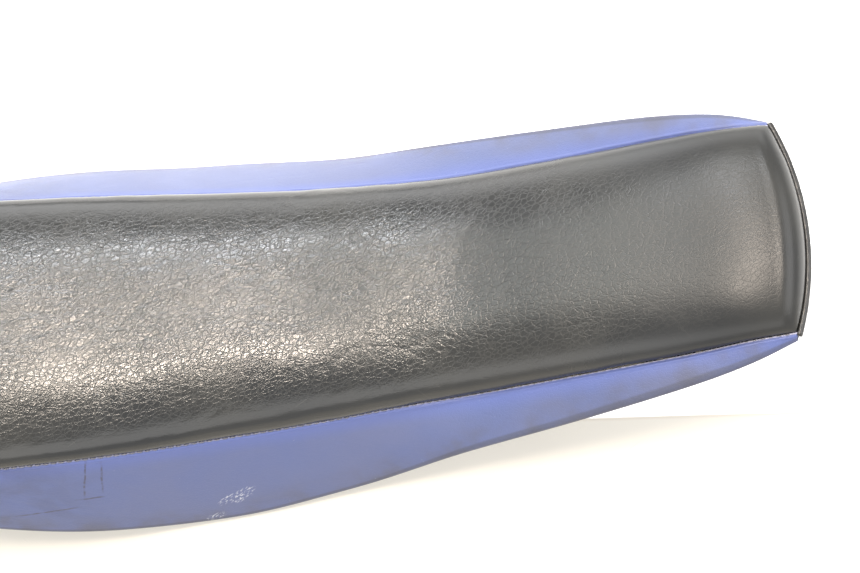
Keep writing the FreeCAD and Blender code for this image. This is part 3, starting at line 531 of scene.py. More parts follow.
def simulate_cover():
    """How far the sewn cover moves when the foam presses it outwards between its seams."""
    places = np.linspace(NOSE_X, REAR_X, int((REAR_X - NOSE_X) / CLOTH_STEP) + 1)
    angles = crown_angles(np.linspace(0, 1, CLOTH_TOP_COLUMNS))
    shares = np.linspace(0, 1, CLOTH_SIDE_COLUMNS)
    rows = []
    for x in places:
        right = side_section(x, shares)[1:CLOTH_SIDE_COLUMNS]
        left = right[::-1] * np.array([1, -1, 1])
        rows.append(np.vstack([left, top_section(x, roll_at(x), angles), right]))
    grid = np.array(rows)
    columns = grid.shape[1]
    outward_faces = grid_faces(len(rows), columns)[:, ::-1]
    obj = mesh_object("cloth_run", grid.reshape(-1, 3), outward_faces)
    held = np.zeros((len(rows), columns), dtype=bool)
    held[[0, 1, -2, -1], :] = True
    held[:, [0, -1, CLOTH_SIDE_COLUMNS - 1, columns - CLOTH_SIDE_COLUMNS]] = True
    shift = run_cloth(obj, np.flatnonzero(held.ravel())).reshape(grid.shape)
    bpy.data.objects.remove(obj)
    return evened(cap_length(shift, CLOTH_CAP), held)


def shift_on(shift, first, last, xs, shares):
    """The simulated movement between two columns, read at new places."""
    row_spots = (np.clip(xs, NOSE_X, REAR_X) - NOSE_X) / (REAR_X - NOSE_X) * (len(shift) - 1)
    part = resample(shift[:, first:last + 1], row_spots)
    column_spots = np.clip(shares, 0, 1) * (last - first)
    return resample(part.transpose(1, 0, 2), column_spots).transpose(1, 0, 2)


# ---------------------------------------------------------------- meshes


def grid_faces(rows, columns):
    """Quads that join a grid of points."""
    first = np.arange(rows * columns).reshape(rows, columns)[:-1, :-1].ravel()
    return np.stack([first, first + 1, first + columns + 1, first + columns], axis=1)


def placed(name, data):
    """A new object in the scene."""
    obj = bpy.data.objects.new(name, data)
    bpy.context.scene.collection.objects.link(obj)
    return obj


def mesh_object(name, points, faces):
    """A new object made of points and faces."""
    mesh = bpy.data.meshes.new(name)
    mesh.from_pydata(np.asarray(points).tolist(), [], [list(map(int, face)) for face in faces])
    mesh.shade_smooth()
    return placed(name, mesh)


def sheet_object(name, grid, normals, flat, seam, edge):
    """A closed sheet of cover: the grid outside, its inner face behind it and a rim round both.

    flat holds each point's place on the unrolled panel, seam its distance from the nearest seam
    and edge its distance from the panel's lower edge.
    """
    rows, columns = grid.shape[:2]
    count = rows * columns
    inner = grid - normals * COVER_THICK
    points = np.vstack([grid.reshape(-1, 3), inner.reshape(-1, 3)])
    outer_faces = grid_faces(rows, columns)
    border = np.concatenate([
        np.arange(columns - 1),
        np.arange(rows - 1) * columns + columns - 1,
        (rows - 1) * columns + np.arange(columns - 1, 0, -1),
        np.arange(rows - 1, 0, -1) * columns,
    ])
    ahead = np.roll(border, -1)
    rim = np.stack([ahead, border, border + count, ahead + count], axis=1)
    faces = np.vstack([outer_faces, outer_faces[:, ::-1] + count, rim])
    a, b, c = (points[i] for i in outer_faces[len(outer_faces) // 2][:3])
    if np.dot(np.cross(b - a, c - a), normals[rows // 2, columns // 2]) < 0:
        faces = faces[:, ::-1]
    obj = mesh_object(name, points, faces)
    flat_points = np.concatenate([flat, np.zeros((rows, columns, 1))], axis=2).reshape(-1, 3)
    layer = obj.data.attributes.new("flat", "FLOAT_VECTOR", "POINT")
    layer.data.foreach_set("vector", np.tile(flat_points, (2, 1)).ravel())
    for attribute, values in (("seam", seam), ("edge", edge)):
        layer = obj.data.attributes.new(attribute, "FLOAT", "POINT")
        layer.data.foreach_set("value", np.tile(values.ravel(), 2))
    return obj


def tube_parts(centres, radii, sides):
    """Points and faces of a round tube along a line of points, closed at both ends."""
    points, faces = [], []
    for i, centre in enumerate(centres):
        ahead = centres[min(i + 1, len(centres) - 1)] - centres[max(i - 1, 0)]
        across = ahead.cross(Vector((0, 0, 1))).normalized()
        lift = across.cross(ahead).normalized()
        for k in range(sides):
            turn = 2 * math.pi * k / sides
            points.append(centre + (across * math.cos(turn) + lift * math.sin(turn)) * radii[i])
    for i in range(len(centres) - 1):
        for k in range(sides):
            a, b = i * sides + k, i * sides + (k + 1) % sides
            faces.append((a, b, b + sides, a + sides))
    last = (len(centres) - 1) * sides
    faces.append(tuple(range(sides))[::-1])
    faces.append(tuple(last + k for k in range(sides)))
    return points, faces


# ---------------------------------------------------------------- cover pieces


def seam_relief(d, along, seed):
    """Height changes beside a sewn seam: the groove, the thread's dimples and small puckers."""
    groove = -SEAM_GROOVE * bell(d, SEAM_GROOVE_WIDTH)
    gap = FIRST_STITCH + (STITCH_LENGTH + STITCH_PITCH) / 2
    pull = 0.5 + 0.5 * np.cos(2 * math.pi * (along - gap) / STITCH_PITCH)
    dimples = -DIMPLE_DEPTH * pull * bell(d, DIMPLE_WIDTH)
    waves = noise_at(along / PUCKER_SIZE[0], d / PUCKER_SIZE[1], seed)
    fading = np.exp(-d / PUCKER_REACH) * (1 - np.exp(-d / PUCKER_START))
    puckers = PUCKER_DEPTH * waves * fading
    return groove + dimples + puckers


def make_top(shift):
    """The black top panel with its soft swells, long creases and sewn edges."""
    width = 2 * (seam_half.at(MIDDLE_X) + crown(MIDDLE_X) / 2)
    shares = graded(width, True)
    angles = crown_angles(shares)
    xs = row_places()
    body = np.array([top_section(x, roll_at(x), angles) for x in xs])
    body += shift_on(shift, LEFT_SEAM, RIGHT_SEAM, xs, shares)
    wrap = wrap_grid(-1, 0.0, angles)[:0:-1]
    grid = np.vstack([wrap, body])
    normals = grid_normals(grid, (0, 0, 1))
    across = distances(grid, 1)
    u = np.repeat(distances(grid, 0)[:, len(shares) // 2][:, None], len(shares), axis=1)
    v = across - across[:, -1:] / 2
    side = np.minimum(across, across[:, -1:] - across)
    rear = distances(grid[::-1], 0)[::-1]
    seam = np.minimum(side, rear)
    fade = np.clip((u - u[len(wrap)]) / (20 * MM), 0, 1)
    inland = 1 - bell(seam, TOP_INLAND)
    relief = seam_relief(side, grid[..., 0], TOP_SIDE_SEED)
    relief += seam_relief(rear, grid[..., 1], TOP_REAR_SEED)
    relief += SWELL_DEPTH * noise_at(u / TOP_SWELL[0], v / TOP_SWELL[1], TOP_SWELL_SEED) * inland
    rearward = np.clip((grid[..., 0] - CREASES_FROM) / (CREASES_TO - CREASES_FROM), 0, 1)
    front = 1 - CREASES_FADE * rearward
    for turn, length, seed in TOP_CREASES:
        creases = crease_at(u, v, length, CREASE_WIDTH, turn, seed)
        relief -= CREASE_DEPTH * creases * inland * front
    grid = grid + normals * (relief * fade)[..., None]
    edge = np.full(seam.shape, 1.0)
    return sheet_object("top_cover", grid, normals, np.stack([u, v], axis=2), seam, edge)


def make_side(shift, hand):
    """A blue side panel with its sewn upper edge, its bend and its hem; hand is 1 on the right."""
    drop = seam_height.at(BELLY_X) - edge_height.at(BELLY_X)
    shares = graded(drop * 1.1, False)
    count = int((REAR_X - NOSE_X) / ROW_STEP)
    xs = np.linspace(NOSE_X + PANEL_END_GAP, REAR_X - SIDE_END_GAP, count)
    grid = np.array([side_section(x, shares) for x in xs]) * np.array([1, hand, 1])
    last = shift.shape[1] - 1
    if hand > 0:
        moved = shift_on(shift, RIGHT_SEAM, last, xs, shares)
    else:
        moved = shift_on(shift[:, ::-1], last - LEFT_SEAM, last, xs, shares)
    grid[:, :len(shares)] += moved
    normals = grid_normals(grid, (0, hand, 0.3))
    seam = distances(grid, 1)
    bend_start = seam[:, len(shares) - 1:len(shares)]
    to_bend = bend_start - seam
    u = np.repeat(xs[:, None], seam.shape[1], axis=1)
    upper = np.clip(to_bend / (10 * MM), 0, 1)
    ridge = SEAM_RIDGE * bell(seam - SEAM_RIDGE_PLACE, SEAM_RIDGE_WIDTH)
    waves = noise_at(u / SIDE_SWELL[0], seam / SIDE_SWELL[1], SIDE_SWELL_SEED + hand)
    inland = 1 - bell(seam, SIDE_INLAND)
    relief = (seam_relief(seam, u, SIDE_SEAM_SEED + hand) + ridge) * np.minimum(1, upper + 0.3)
    relief += SWELL_DEPTH * waves * inland * upper
    creases = crease_at(u, seam, *SIDE_CREASE, SIDE_CREASE_SEED + hand)
    relief -= SIDE_CREASE_DEPTH * creases * inland * upper
    lower_wave = bell(to_bend, LOWER_WAVE_REACH) * (seam <= bend_start)
    waves = noise_at(u / LOWER_WAVE_LENGTH, u * 0 + 0.5, LOWER_WAVE_SEED + hand)
    relief += LOWER_WAVE_DEPTH * waves * lower_wave * upper
    grid = grid + normals * relief[..., None]
    name = "right_side_cover" if hand > 0 else "left_side_cover"
    flat = np.stack([u, seam], axis=2)
    return sheet_object(name, grid, normals, flat, seam, np.maximum(to_bend, 0))


def make_rear_end(gap):
    """The small black panel below the welt, turned under the pan."""
    shares = graded(2 * seam_half.at(REAR_X), True)
    angles = crown_angles(shares)
    grid = wrap_grid(1, gap, angles)
    normals = grid_normals(grid, (1, 0, 0))
    drop = distances(grid, 0)
    across = distances(grid, 1)
    flat = np.stack([drop, across - across[:, -1:] / 2], axis=2)
    ripple = RIPPLE_DEPTH * noise_at(across / RIPPLE_SIZE[0], drop / RIPPLE_SIZE[1], RIPPLE_SEED)
    fade = np.clip(drop / (2 * MM), 0, 1) * np.clip((drop[-1:] - drop) / (4 * MM), 0, 1)
    grid = grid + normals * (ripple * fade)[..., None]
    seam, edge = drop + 20 * MM, np.full(drop.shape, 1.0)
    return sheet_object("rear_end_cover", grid, normals, flat, seam, edge)


def make_welt():
    """The vinyl welt round the rear edge, a rolled tube that creases a little along its arc."""
    low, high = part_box("rear_piping")
    radius, height = (high.z - low.z) / 2, (high.z + low.z) / 2
    half = seam_half.at(REAR_X)
    arc = (half**2 + REAR_BULGE**2) / (2 * REAR_BULGE)
    centre_x = REAR_X + REAR_BULGE - arc
    arc_radius = high.x - radius - centre_x
    reach = math.asin(half / arc) + WELT_OVERHANG / arc
    turns = np.linspace(-reach, reach, WELT_STEPS)
    creases = noise_at(turns * arc / WELT_CREASE_LENGTH, turns * 0, WELT_SEED)
    fade = np.clip((reach - np.abs(turns)) * arc / WELT_TAPER, 0, 1)
    creased = radius - WELT_INSET + WELT_CREASE_DEPTH * creases
    radii = creased * (0.8 + 0.2 * np.sqrt(fade))
    centres = []
    for turn in turns:
        x, y = centre_x + arc_radius * math.cos(turn), arc_radius * math.sin(turn)
        centres.append(Vector((x, y, height)))
    return mesh_object("rear_welt", *tube_parts(centres, radii, WELT_SIDES))


def make_threads(hand):
    """The lock stitches that show along a side seam, each one diving into the vinyl."""
    steps = np.linspace(-1, 1, STITCH_STEPS)
    points, faces = [], []
    x = FIRST_STITCH
    while x + STITCH_LENGTH < REAR_X - 2 * MM:
        centres = []
        for step in steps:
            place = x + STITCH_LENGTH * (step + 1) / 2
            rise = THREAD_LIFT - THREAD_DIVE * step**4
            y = seam_half.at(place) + rise * 0.8
            centres.append(Vector((place, hand * y, seam_height.at(place) + rise * 0.7)))
        radii = [THREAD_RADIUS * (1 - 0.35 * abs(step) ** 3) for step in steps]
        stitch_points, stitch_faces = tube_parts(centres, radii, THREAD_SIDES)
        start = len(points)
        points += stitch_points
        faces += [tuple(i + start for i in face) for face in stitch_faces]
        x += STITCH_PITCH
    return mesh_object("right_threads" if hand > 0 else "left_threads", points, faces)


def make_foam():
    """The foam pad: the CAD pad remeshed, drawn in a little and pressed out again as cloth."""
    foam = placed("foam_core", frame["nodes"]["foam_pad"].data.copy())
    remesh = foam.modifiers.new("Remesh", "REMESH")
    remesh.mode = "VOXEL"
    remesh.voxel_size = FOAM_VOXEL
    evaluated = foam.evaluated_get(bpy.context.evaluated_depsgraph_get())
    mesh = bpy.data.meshes.new_from_object(evaluated)
    foam.modifiers.clear()
    foam.data = mesh
    normals = np.empty(len(mesh.vertices) * 3)
    mesh.vertex_normals.foreach_get("vector", normals)
    drawn = vertex_places(mesh) - normals.reshape(-1, 3) * FOAM_SHRINK
    mesh.vertices.foreach_set("co", drawn.ravel())
    shift = cap_length(run_cloth(foam, None), FOAM_CAP)
    mesh.vertices.foreach_set("co", (drawn + shift).ravel())
    mesh.materials.clear()
    mesh.shade_smooth()
    mesh.update()
    return foam


# ---------------------------------------------------------------- materials


class Finish:
    """A procedural material being put together."""

    def __init__(self, name):
        self.material = bpy.data.materials.new(name)
        self.material.use_nodes = True
        self.tree = self.material.node_tree
        self.shader = self.tree.nodes["Principled BSDF"]
        self.place = self.node("TexCoord").outputs["Object"]

    def feed(self, socket, value):
        """Sets a socket to a value or links another socket to it."""
        if isinstance(value, bpy.types.NodeSocket):
            self.tree.links.new(value, socket)
        elif isinstance(value, tuple) and len(value) == 3 and socket.type == "RGBA":
            socket.default_value = (*value, 1)
        else:
            socket.default_value = value

    def node(self, kind, inputs=None, **settings):
        """A shader node with its settings and inputs filled in."""
        node = self.tree.nodes.new("ShaderNode" + kind)
        for name, value in settings.items():
            setattr(node, name, value)
        for name, value in (inputs or {}).items():
            self.feed(node.inputs[name], value)
        return node

    def set(self, **values):
        """Sets inputs of the surface shader, with _ standing for a space."""
        for name, value in values.items():
            self.feed(self.shader.inputs[name.replace("_", " ")], value)

    def attribute(self, name, output="Fac"):
        return self.node("Attribute", attribute_name=name).outputs[output]

    def math(self, operation, first, second=0.0):
        return self.node("Math", {0: first, 1: second}, operation=operation).outputs[0]

    def times(self, first, second):
        return self.math("MULTIPLY", first, second)

    def plus(self, first, second):
        return self.math("ADD", first, second)

    def joined(self, operation, parts):
        """Several values brought together by one operation."""
        return reduce(lambda first, second: self.math(operation, first, second), parts)

    def split(self, vector, axis):
        """One coordinate of a vector: 0 for X, 1 for Y and 2 for Z."""
        return self.node("SeparateXYZ", {0: vector}).outputs[axis]

    def from_point(self, vector, point):
        """A vector measured from a point."""
        inputs = {0: vector, 1: point}
        return self.node("VectorMath", inputs, operation="SUBTRACT").outputs[0]

    def scaled(self, value, low, high, start=0.0, end=1.0):
        """Carries a value from the range low..high to start..end, and holds it there."""
        inputs = {"From Min": low, "From Max": high, "To Min": start, "To Max": end, "Value": value}
        return self.node("MapRange", inputs, interpolation_type="SMOOTHSTEP").outputs["Result"]

    def mix(self, share, first, second, blend="MIX"):
        inputs = {"Fac": share, "Color1": first, "Color2": second}
        return self.node("MixRGB", inputs, blend_type=blend).outputs["Color"]

    def turned(self, vector, turn, size_x, size_y, size_z=1.0):
        """Texture space turned about Z, then measured in units of the given sizes."""
        flat = self.node("Mapping", {"Vector": vector, "Rotation": (0, 0, -turn)}).outputs[0]
        scale = (1 / size_x, 1 / size_y, 1 / size_z)
        return self.node("Mapping", {"Vector": flat, "Scale": scale}).outputs[0]

    def noise(self, vector, size, detail=3.0, distortion=0.0):
        inputs = {"Vector": vector, "Scale": 1 / size, "Detail": detail, "Distortion": distortion}
        return self.node("TexNoise", inputs).outputs["Fac"]

    def clouds(self, vector, size, detail, *spread):
        """Noise carried from one range to another, as in scaled."""
        return self.scaled(self.noise(vector, size, detail), *spread)

    def cells(self, vector, feature="DISTANCE_TO_EDGE"):
        inputs = {"Vector": vector, "Scale": 1.0, "Randomness": 1.0}
        return self.node("TexVoronoi", inputs, feature=feature).outputs["Distance"]

    def swayed(self, vector, size, amount):
        """Texture space pushed about by noise, so that cells lose their straight edges."""
        inputs = {"Vector": vector, "Scale": 1 / size, "Detail": 2.0}
        push = self.node("TexNoise", inputs).outputs["Color"]
        inputs = {0: self.from_point(push, (0.5, 0.5, 0.5)), "Scale": amount}
        scaled = self.node("VectorMath", inputs, operation="SCALE").outputs[0]
        return self.node("VectorMath", {0: vector, 1: scaled}, operation="ADD").outputs[0]

    def bump(self, height, distance):
        inputs = {"Height": height, "Distance": distance, "Strength": 1.0}
        self.set(Normal=self.node("Bump", inputs).outputs["Normal"])

    def stipple(self, size):
        """The fine unevenness of a moulded, rolled or plated surface."""
        return self.noise(self.place, size, 3.0)

    def cloudy_gloss(self, size, low, high):
        """Roughness that changes in clouds a third of the given size."""
        self.set(Roughness=self.clouds(self.place, size / 3, 4.0, 0.3, 0.7, low, high))


def grain_height(finish, flat, long, short, turn):
    """Vinyl grain: flat plates and smaller ones over them, with narrow valleys between."""
    large = finish.turned(finish.swayed(flat, 4 * MM, 1.8 * MM), turn, long, short)
    small = finish.turned(finish.swayed(flat, 2.5 * MM, 1.2 * MM), turn, long * 0.45, short * 0.45)
    plates = finish.scaled(finish.cells(large), 0.0, 0.12)
    flakes = finish.scaled(finish.cells(small), 0.0, 0.20)
    return finish.plus(finish.times(plates, 0.7), finish.times(flakes, 0.3))


# Cracks in the black vinyl: turn, length and width of the plates between them.
CRACKS = [
    (CREASE_TURN, 34 * MM, 7 * MM),
    (-0.9 * CREASE_TURN, 26 * MM, 8 * MM),
]


def crease_lines(finish, flat):
    """Long slanting cracks in two directions, from 1 beside a crack to 0 in it."""
    parts = []
    for turn, length, width in CRACKS:
        cells = finish.turned(finish.swayed(flat, 11 * MM, 6 * MM), turn, length, width)
        parts.append(finish.scaled(finish.cells(cells), 0.0, 0.055))
    return finish.joined("MINIMUM", parts)


BLACK_CLEAN = (0.022, 0.023, 0.024)
BLACK_DULL = (0.033, 0.033, 0.031)
BLACK_DUST = (0.050, 0.049, 0.045)
BLACK_SCRATCH = (0.20, 0.19, 0.17)


def black_vinyl():
    """Aged black vinyl: creased grain that is stretched smooth near the seams and at the rear."""
    finish = Finish("black_vinyl_aged")
    flat = finish.attribute("flat", "Vector")
    seam = finish.attribute("seam")
    along = finish.split(finish.place, 0)
    front = finish.scaled(along, 0.40, 0.66, 1.0, 0.35)
    ragged = finish.plus(seam, finish.times(finish.noise(flat, 25 * MM, 4.0), 16 * MM))
    near_seam = finish.scaled(ragged, 18 * MM, 40 * MM, 0.05, 1.0)
    patches = finish.clouds(flat, 60 * MM, 3.0, 0.3, 0.7, 0.7, 1.0)
    depth = finish.times(finish.times(near_seam, front), patches)
    grain = grain_height(finish, flat, 4.6 * MM, 2.8 * MM, CREASE_TURN)
    cracks = crease_lines(finish, flat)
    worked = finish.plus(finish.times(grain, 0.85), finish.times(cracks, 0.35))
    pores = finish.noise(flat, 0.7 * MM, 2.0)
    height = finish.plus(finish.times(worked, depth), finish.times(pores, 0.08))
    finish.bump(height, GRAIN_DEPTH)
    dust = finish.clouds(flat, 90 * MM, 5.0, 0.35, 0.75)
    valley = finish.times(finish.scaled(grain, 0.3, 0.9, 1.0, 0.0), depth)
    clean = finish.mix(dust, BLACK_CLEAN, BLACK_DULL)
    dusty = finish.mix(finish.times(valley, 0.35), clean, BLACK_DUST)
    scratches = scratch_mask(finish, flat, 0.3)
    worn = finish.mix(scratches, dusty, BLACK_SCRATCH)
    finish.set(Base_Color=worn, IOR=1.5)
    polish = finish.clouds(flat, 45 * MM, 3.0, 0.3, 0.7, 0.15, 0.20)
    dulled = finish.plus(polish, finish.scaled(along, 0.42, 0.60, 0.0, 0.14))
    finish.set(Roughness=finish.plus(dulled, finish.times(valley, 0.15)))
    finish.set(Specular_IOR_Level=finish.scaled(along, 0.56, 0.64, 0.5, 0.30))
    return finish.material


def scratch_mask(finish, flat, amount):
    """Sparse fine scratches in two directions."""
    parts = []
    for turn, cut in ((0.5, 0.72), (-0.9, 0.74)):
        streak = finish.turned(flat, turn, 26 * MM, 0.45 * MM)
        lines = finish.clouds(streak, 1.0, 1.0, cut, cut + 0.05)
        parts.append(finish.times(lines, finish.clouds(flat, 50 * MM, 3.0, 0.5, 0.62)))
    return finish.times(finish.joined("MAXIMUM", parts), amount)


BLUE_FADED = ((0.088, 0.114, 0.250), (0.102, 0.122, 0.238))
# Bluer colour of the band beside the seam.
BLUE_SEAM_BAND = (0.092, 0.125, 0.335)
# Grey mixed in towards the lower edge, in noisy patches.
BLUE_LOWER_GREY = (0.085, 0.085, 0.11)
BLUE_SOIL = (0.058, 0.062, 0.095)
BLUE_SPECK = (0.5, 0.52, 0.56)
BLUE_STROKE = (0.05, 0.045, 0.06)
BLUE_RUBBED = (0.55, 0.57, 0.62)
# Pale colour of the painted highlight along the fold at the seam.
BLUE_FOLD_HIGHLIGHT = (0.50, 0.48, 0.55)
# Dark colour of the painted shade on the bend and under the pan.
BLUE_UNDER_SHADE = (0.05, 0.05, 0.06)


def blue_vinyl():
    """Faded blue vinyl: bluest beside the seam, greyer and darker in noisy patches towards the
    lower edge.
    """
    finish = Finish("blue_vinyl_aged")
    flat = finish.attribute("flat", "Vector")
    seam = finish.attribute("seam")
    edge = finish.attribute("edge")
    grain = grain_height(finish, flat, 2.6 * MM, 2.0 * MM, 0.3)
    pores = finish.noise(flat, 0.6 * MM, 2.0)
    height = finish.plus(finish.times(grain, 0.5), finish.times(pores, 0.15))
    finish.bump(height, 0.16 * MM)
    cloudy = finish.noise(flat, 70 * MM, 5.0, 0.4)
    faded = finish.mix(finish.scaled(cloudy, 0.35, 0.68), *BLUE_FADED)
    # Bluer in a band up to 16 mm from the seam.
    seam_band = finish.scaled(seam, 1.5 * MM, 16 * MM, 1.0, 0.0)
    rich = finish.mix(finish.times(seam_band, 0.8), faded, BLUE_SEAM_BAND)
    # Greyer and darker in noisy patches towards the lower edge.
    low = finish.scaled(edge, 0.0, 26 * MM, 1.0, 0.0)
    lower_grey_noise = finish.clouds(flat, 22 * MM, 6.0, 0.38, 0.72)
    lower_grey = finish.times(low, finish.plus(finish.times(lower_grey_noise, 0.5), 0.12))
    greyed_low = finish.mix(lower_grey, rich, BLUE_LOWER_GREY)
    left = finish.scaled(finish.split(finish.place, 1), -10 * MM, 10 * MM, 1.0, 0.0)
    nose = finish.scaled(finish.split(flat, 0), 0.06, 0.24, 1.0, 0.0)
    soil_noise = finish.scaled(finish.noise(flat, 30 * MM, 6.0, 0.8), 0.42, 0.64)
    soil = finish.times(finish.times(nose, soil_noise), 0.7)
    soiled = finish.mix(soil, greyed_low, BLUE_SOIL)
    specks = finish.turned(flat, 0.0, 5 * MM, 5 * MM)
    speck = finish.scaled(finish.cells(specks, "F1"), 0.035, 0.06, 1.0, 0.0)
    speck_patch = finish.clouds(flat, 40 * MM, 3.0, 0.5, 0.65)
    spots = finish.times(finish.times(speck, speck_patch), 0.6)
    spotted = finish.mix(spots, soiled, BLUE_SPECK)
    strokes = finish.times(left, stroke_mask(finish, flat))
    lined = finish.mix(strokes, spotted, BLUE_STROKE)
    rubbed = finish.mix(finish.times(left, scuff_mask(finish, flat)), lined, BLUE_RUBBED)
    # Painted highlight: a pale line along the fold where the blue vinyl turns in at the seam.
    fold_highlight = finish.scaled(seam, 0.3 * MM, 1.1 * MM, 0.75, 0.0)
    # Painted shade: half mixed in over the bend round the pan's edge and the hem under it, fading
    # out just above the bend.
    under_shade = finish.scaled(edge, 0.3 * MM, 2.2 * MM, 0.5, 0.0)
    lower = finish.mix(under_shade, rubbed, BLUE_UNDER_SHADE)
    finish.set(Base_Color=finish.mix(fold_highlight, lower, BLUE_FOLD_HIGHLIGHT), IOR=1.48)
    finish.set(Roughness=finish.scaled(cloudy, 0.3, 0.7, 0.40, 0.52))
    return finish.material


def stroke_mask(finish, flat):
    """Thin dirt lines: the outline of a lost sticker and a long drip below it."""
    uneven = finish.swayed(flat, 12 * MM, 2.0 * MM)
    parts = []
    for x, drop, turn, length in STROKES:
        offset = finish.from_point(uneven, (x, drop, 0))
        shares = finish.turned(offset, turn, length / 2, STROKE_WIDTH / 2)
        away = finish.node("VectorMath", {0: shares}, operation="ABSOLUTE").outputs[0]
        furthest = finish.math("MAXIMUM", finish.split(away, 0), finish.split(away, 1))
        parts.append(finish.scaled(furthest, 0.5, 1.0, 1.0, 0.0))
    broken = finish.clouds(flat, 4 * MM, 4.0, 0.4, 0.55, 0.2, 0.8)
    return finish.times(finish.joined("MAXIMUM", parts), broken)


def scuff_mask(finish, flat):
    """Pale rubbed marks on the left side: short patches of fine scrapes."""
    parts = []
    for x, drop, reach in SCUFFS:
        offset = finish.from_point(flat, (x, drop, 0))
        stretched = finish.turned(offset, 0.9, reach * 0.6, reach * 1.4)
        far = finish.node("VectorMath", {0: stretched}, operation="LENGTH").outputs["Value"]
        parts.append(finish.scaled(far, 0.5, 1.0, 1.0, 0.0))
    streaks = finish.turned(flat, 0.9, 0.9 * MM, 4 * MM)
    marks = finish.clouds(streaks, 1.0, 3.0, 0.53, 0.62, 0.0, 0.8)
    return finish.times(finish.joined("MAXIMUM", parts), marks)


# Finishes with cloudy colour and an even stipple: name, darker and lighter colour, roughness
# range, stipple size and depth, metallic share and cloud size.
PLAIN_FINISHES = {
    "piping_vinyl": ("welt_vinyl", (0.014, 0.014, 0.014), (0.034, 0.033, 0.031),
                     (0.28, 0.40), 0.8 * MM, 0.06 * MM, 0.0, 8 * MM),
    "foam": ("foam_open_cell", (0.62, 0.52, 0.30), (0.74, 0.66, 0.44),
             (0.85, 0.95), 1.2 * MM, 0.5 * MM, 0.0, 20 * MM),
    "zinc_steel": ("zinc_plated", (0.42, 0.41, 0.36), (0.56, 0.57, 0.58),
                   (0.24, 0.46), 0.5 * MM, 0.03 * MM, 1.0, 6 * MM),
    "staple_wire": ("wire_galvanised", (0.36, 0.35, 0.33), (0.52, 0.52, 0.50),
                    (0.28, 0.50), 0.3 * MM, 0.03 * MM, 1.0, 4 * MM),
    "brass": ("brass_tarnished", (0.38, 0.24, 0.08), (0.62, 0.43, 0.17),
              (0.25, 0.45), 0.4 * MM, 0.04 * MM, 1.0, 5 * MM),
    "rubber": ("rubber_moulded", (0.012, 0.012, 0.012), (0.038, 0.036, 0.033),
               (0.62, 0.85), 0.6 * MM, 0.12 * MM, 0.0, 20 * MM),
}


def plain_finish(name, low, high, rough, grain, depth, metallic, size):
    """A moulded, plated or rolled surface: cloudy colour, uneven gloss and a fine stipple."""
    finish = Finish(name)
    cloud = finish.clouds(finish.place, size, 5.0, 0.35, 0.7)
    finish.set(Base_Color=finish.mix(cloud, low, high), Metallic=metallic)
    finish.cloudy_gloss(size, *rough)
    finish.bump(finish.stipple(grain), depth)
    return finish.material


def pan_plastic():
    """Moulded black polypropylene, dusty, with a fine spark-eroded stipple and flow streaks."""
    finish = Finish("pan_moulded")
    cloud = finish.clouds(finish.place, 20 * MM, 5.0, 0.35, 0.7)
    finish.set(Base_Color=finish.mix(cloud, (0.016, 0.016, 0.017), (0.035, 0.034, 0.032)))
    finish.cloudy_gloss(20 * MM, 0.42, 0.62)
    lengths = finish.turned(finish.place, 0.2, 60 * MM, 6 * MM, 6 * MM)
    streaks = finish.times(finish.noise(lengths, 1.0, 4.0), 0.8)
    finish.bump(finish.plus(finish.stipple(0.9 * MM), streaks), 0.12 * MM)
    return finish.material


STEEL_PAINT = ((0.012, 0.012, 0.013), (0.030, 0.027, 0.024))
STEEL_RUST = (0.20, 0.12, 0.075)


def black_steel():
    """Black painted steel, worn to rusty metal along sharp edges and in small chips."""
    finish = Finish("steel_painted")
    finish.cloudy_gloss(20 * MM, 0.26, 0.42)
    finish.bump(finish.stipple(1.4 * MM), 0.05 * MM)
    cloud = finish.clouds(finish.place, 12 * MM, 5.0, 0.4, 0.7)
    paint = finish.mix(cloud, *STEEL_PAINT)
    corner = finish.node("NewGeometry").outputs["Pointiness"]
    uneven = finish.math("SUBTRACT", finish.noise(finish.place, 5 * MM, 5.0), 0.5)
    worn = finish.scaled(finish.plus(corner, finish.times(uneven, 0.12)), 0.56, 0.62)
    chips = finish.clouds(finish.place, 3 * MM, 4.0, 0.70, 0.74)
    share = finish.math("MAXIMUM", worn, chips)
    finish.set(Base_Color=finish.mix(share, paint, STEEL_RUST), Metallic=share)
    return finish.material


def twisted(name, dark, light, pitch):
    """Thread or cord: strands that wind round its length."""
    finish = Finish(name)
    slanted = finish.turned(finish.place, 0.9, pitch, pitch * 8, pitch)
    inputs = {"Vector": slanted, "Scale": 1.0, "Distortion": 0.6, "Detail": 1.0}
    strands = finish.node("TexWave", inputs).outputs["Fac"]
    fuzz = finish.noise(finish.place, 0.4 * MM, 3.0)
    height = finish.plus(strands, finish.times(fuzz, 0.4))
    finish.bump(height, 0.10 * MM)
    finish.set(Base_Color=finish.mix(strands, dark, light))
    finish.set(Roughness=finish.scaled(fuzz, 0.3, 0.7, 0.6, 0.8))
    return finish.material


def make_finishes():
    """One material for each material slot of the record."""
    made = {slot: plain_finish(*values) for slot, values in PLAIN_FINISHES.items()}
    made["black_vinyl"] = black_vinyl()
    made["blue_vinyl"] = blue_vinyl()
    made["pan_plastic"] = pan_plastic()
    made["black_steel"] = black_steel()
    made["cord"] = twisted("cord_twisted", (0.30, 0.29, 0.26), (0.55, 0.53, 0.48), 1.6 * MM)
    made["thread"] = twisted("thread_twisted", (0.20, 0.20, 0.22), (0.42, 0.42, 0.46), 0.5 * MM)
    return made


def dress(obj, material):
    """Gives an object one material."""
    obj.data.materials.clear()
    obj.data.materials.append(material)


def add_piece(obj, slot, node):
    """Puts a finished piece on the seat in place of a CAD node."""
    dress(obj, finishes[slot])
    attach(obj, "seat")
    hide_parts(node)


# ---------------------------------------------------------------- studio


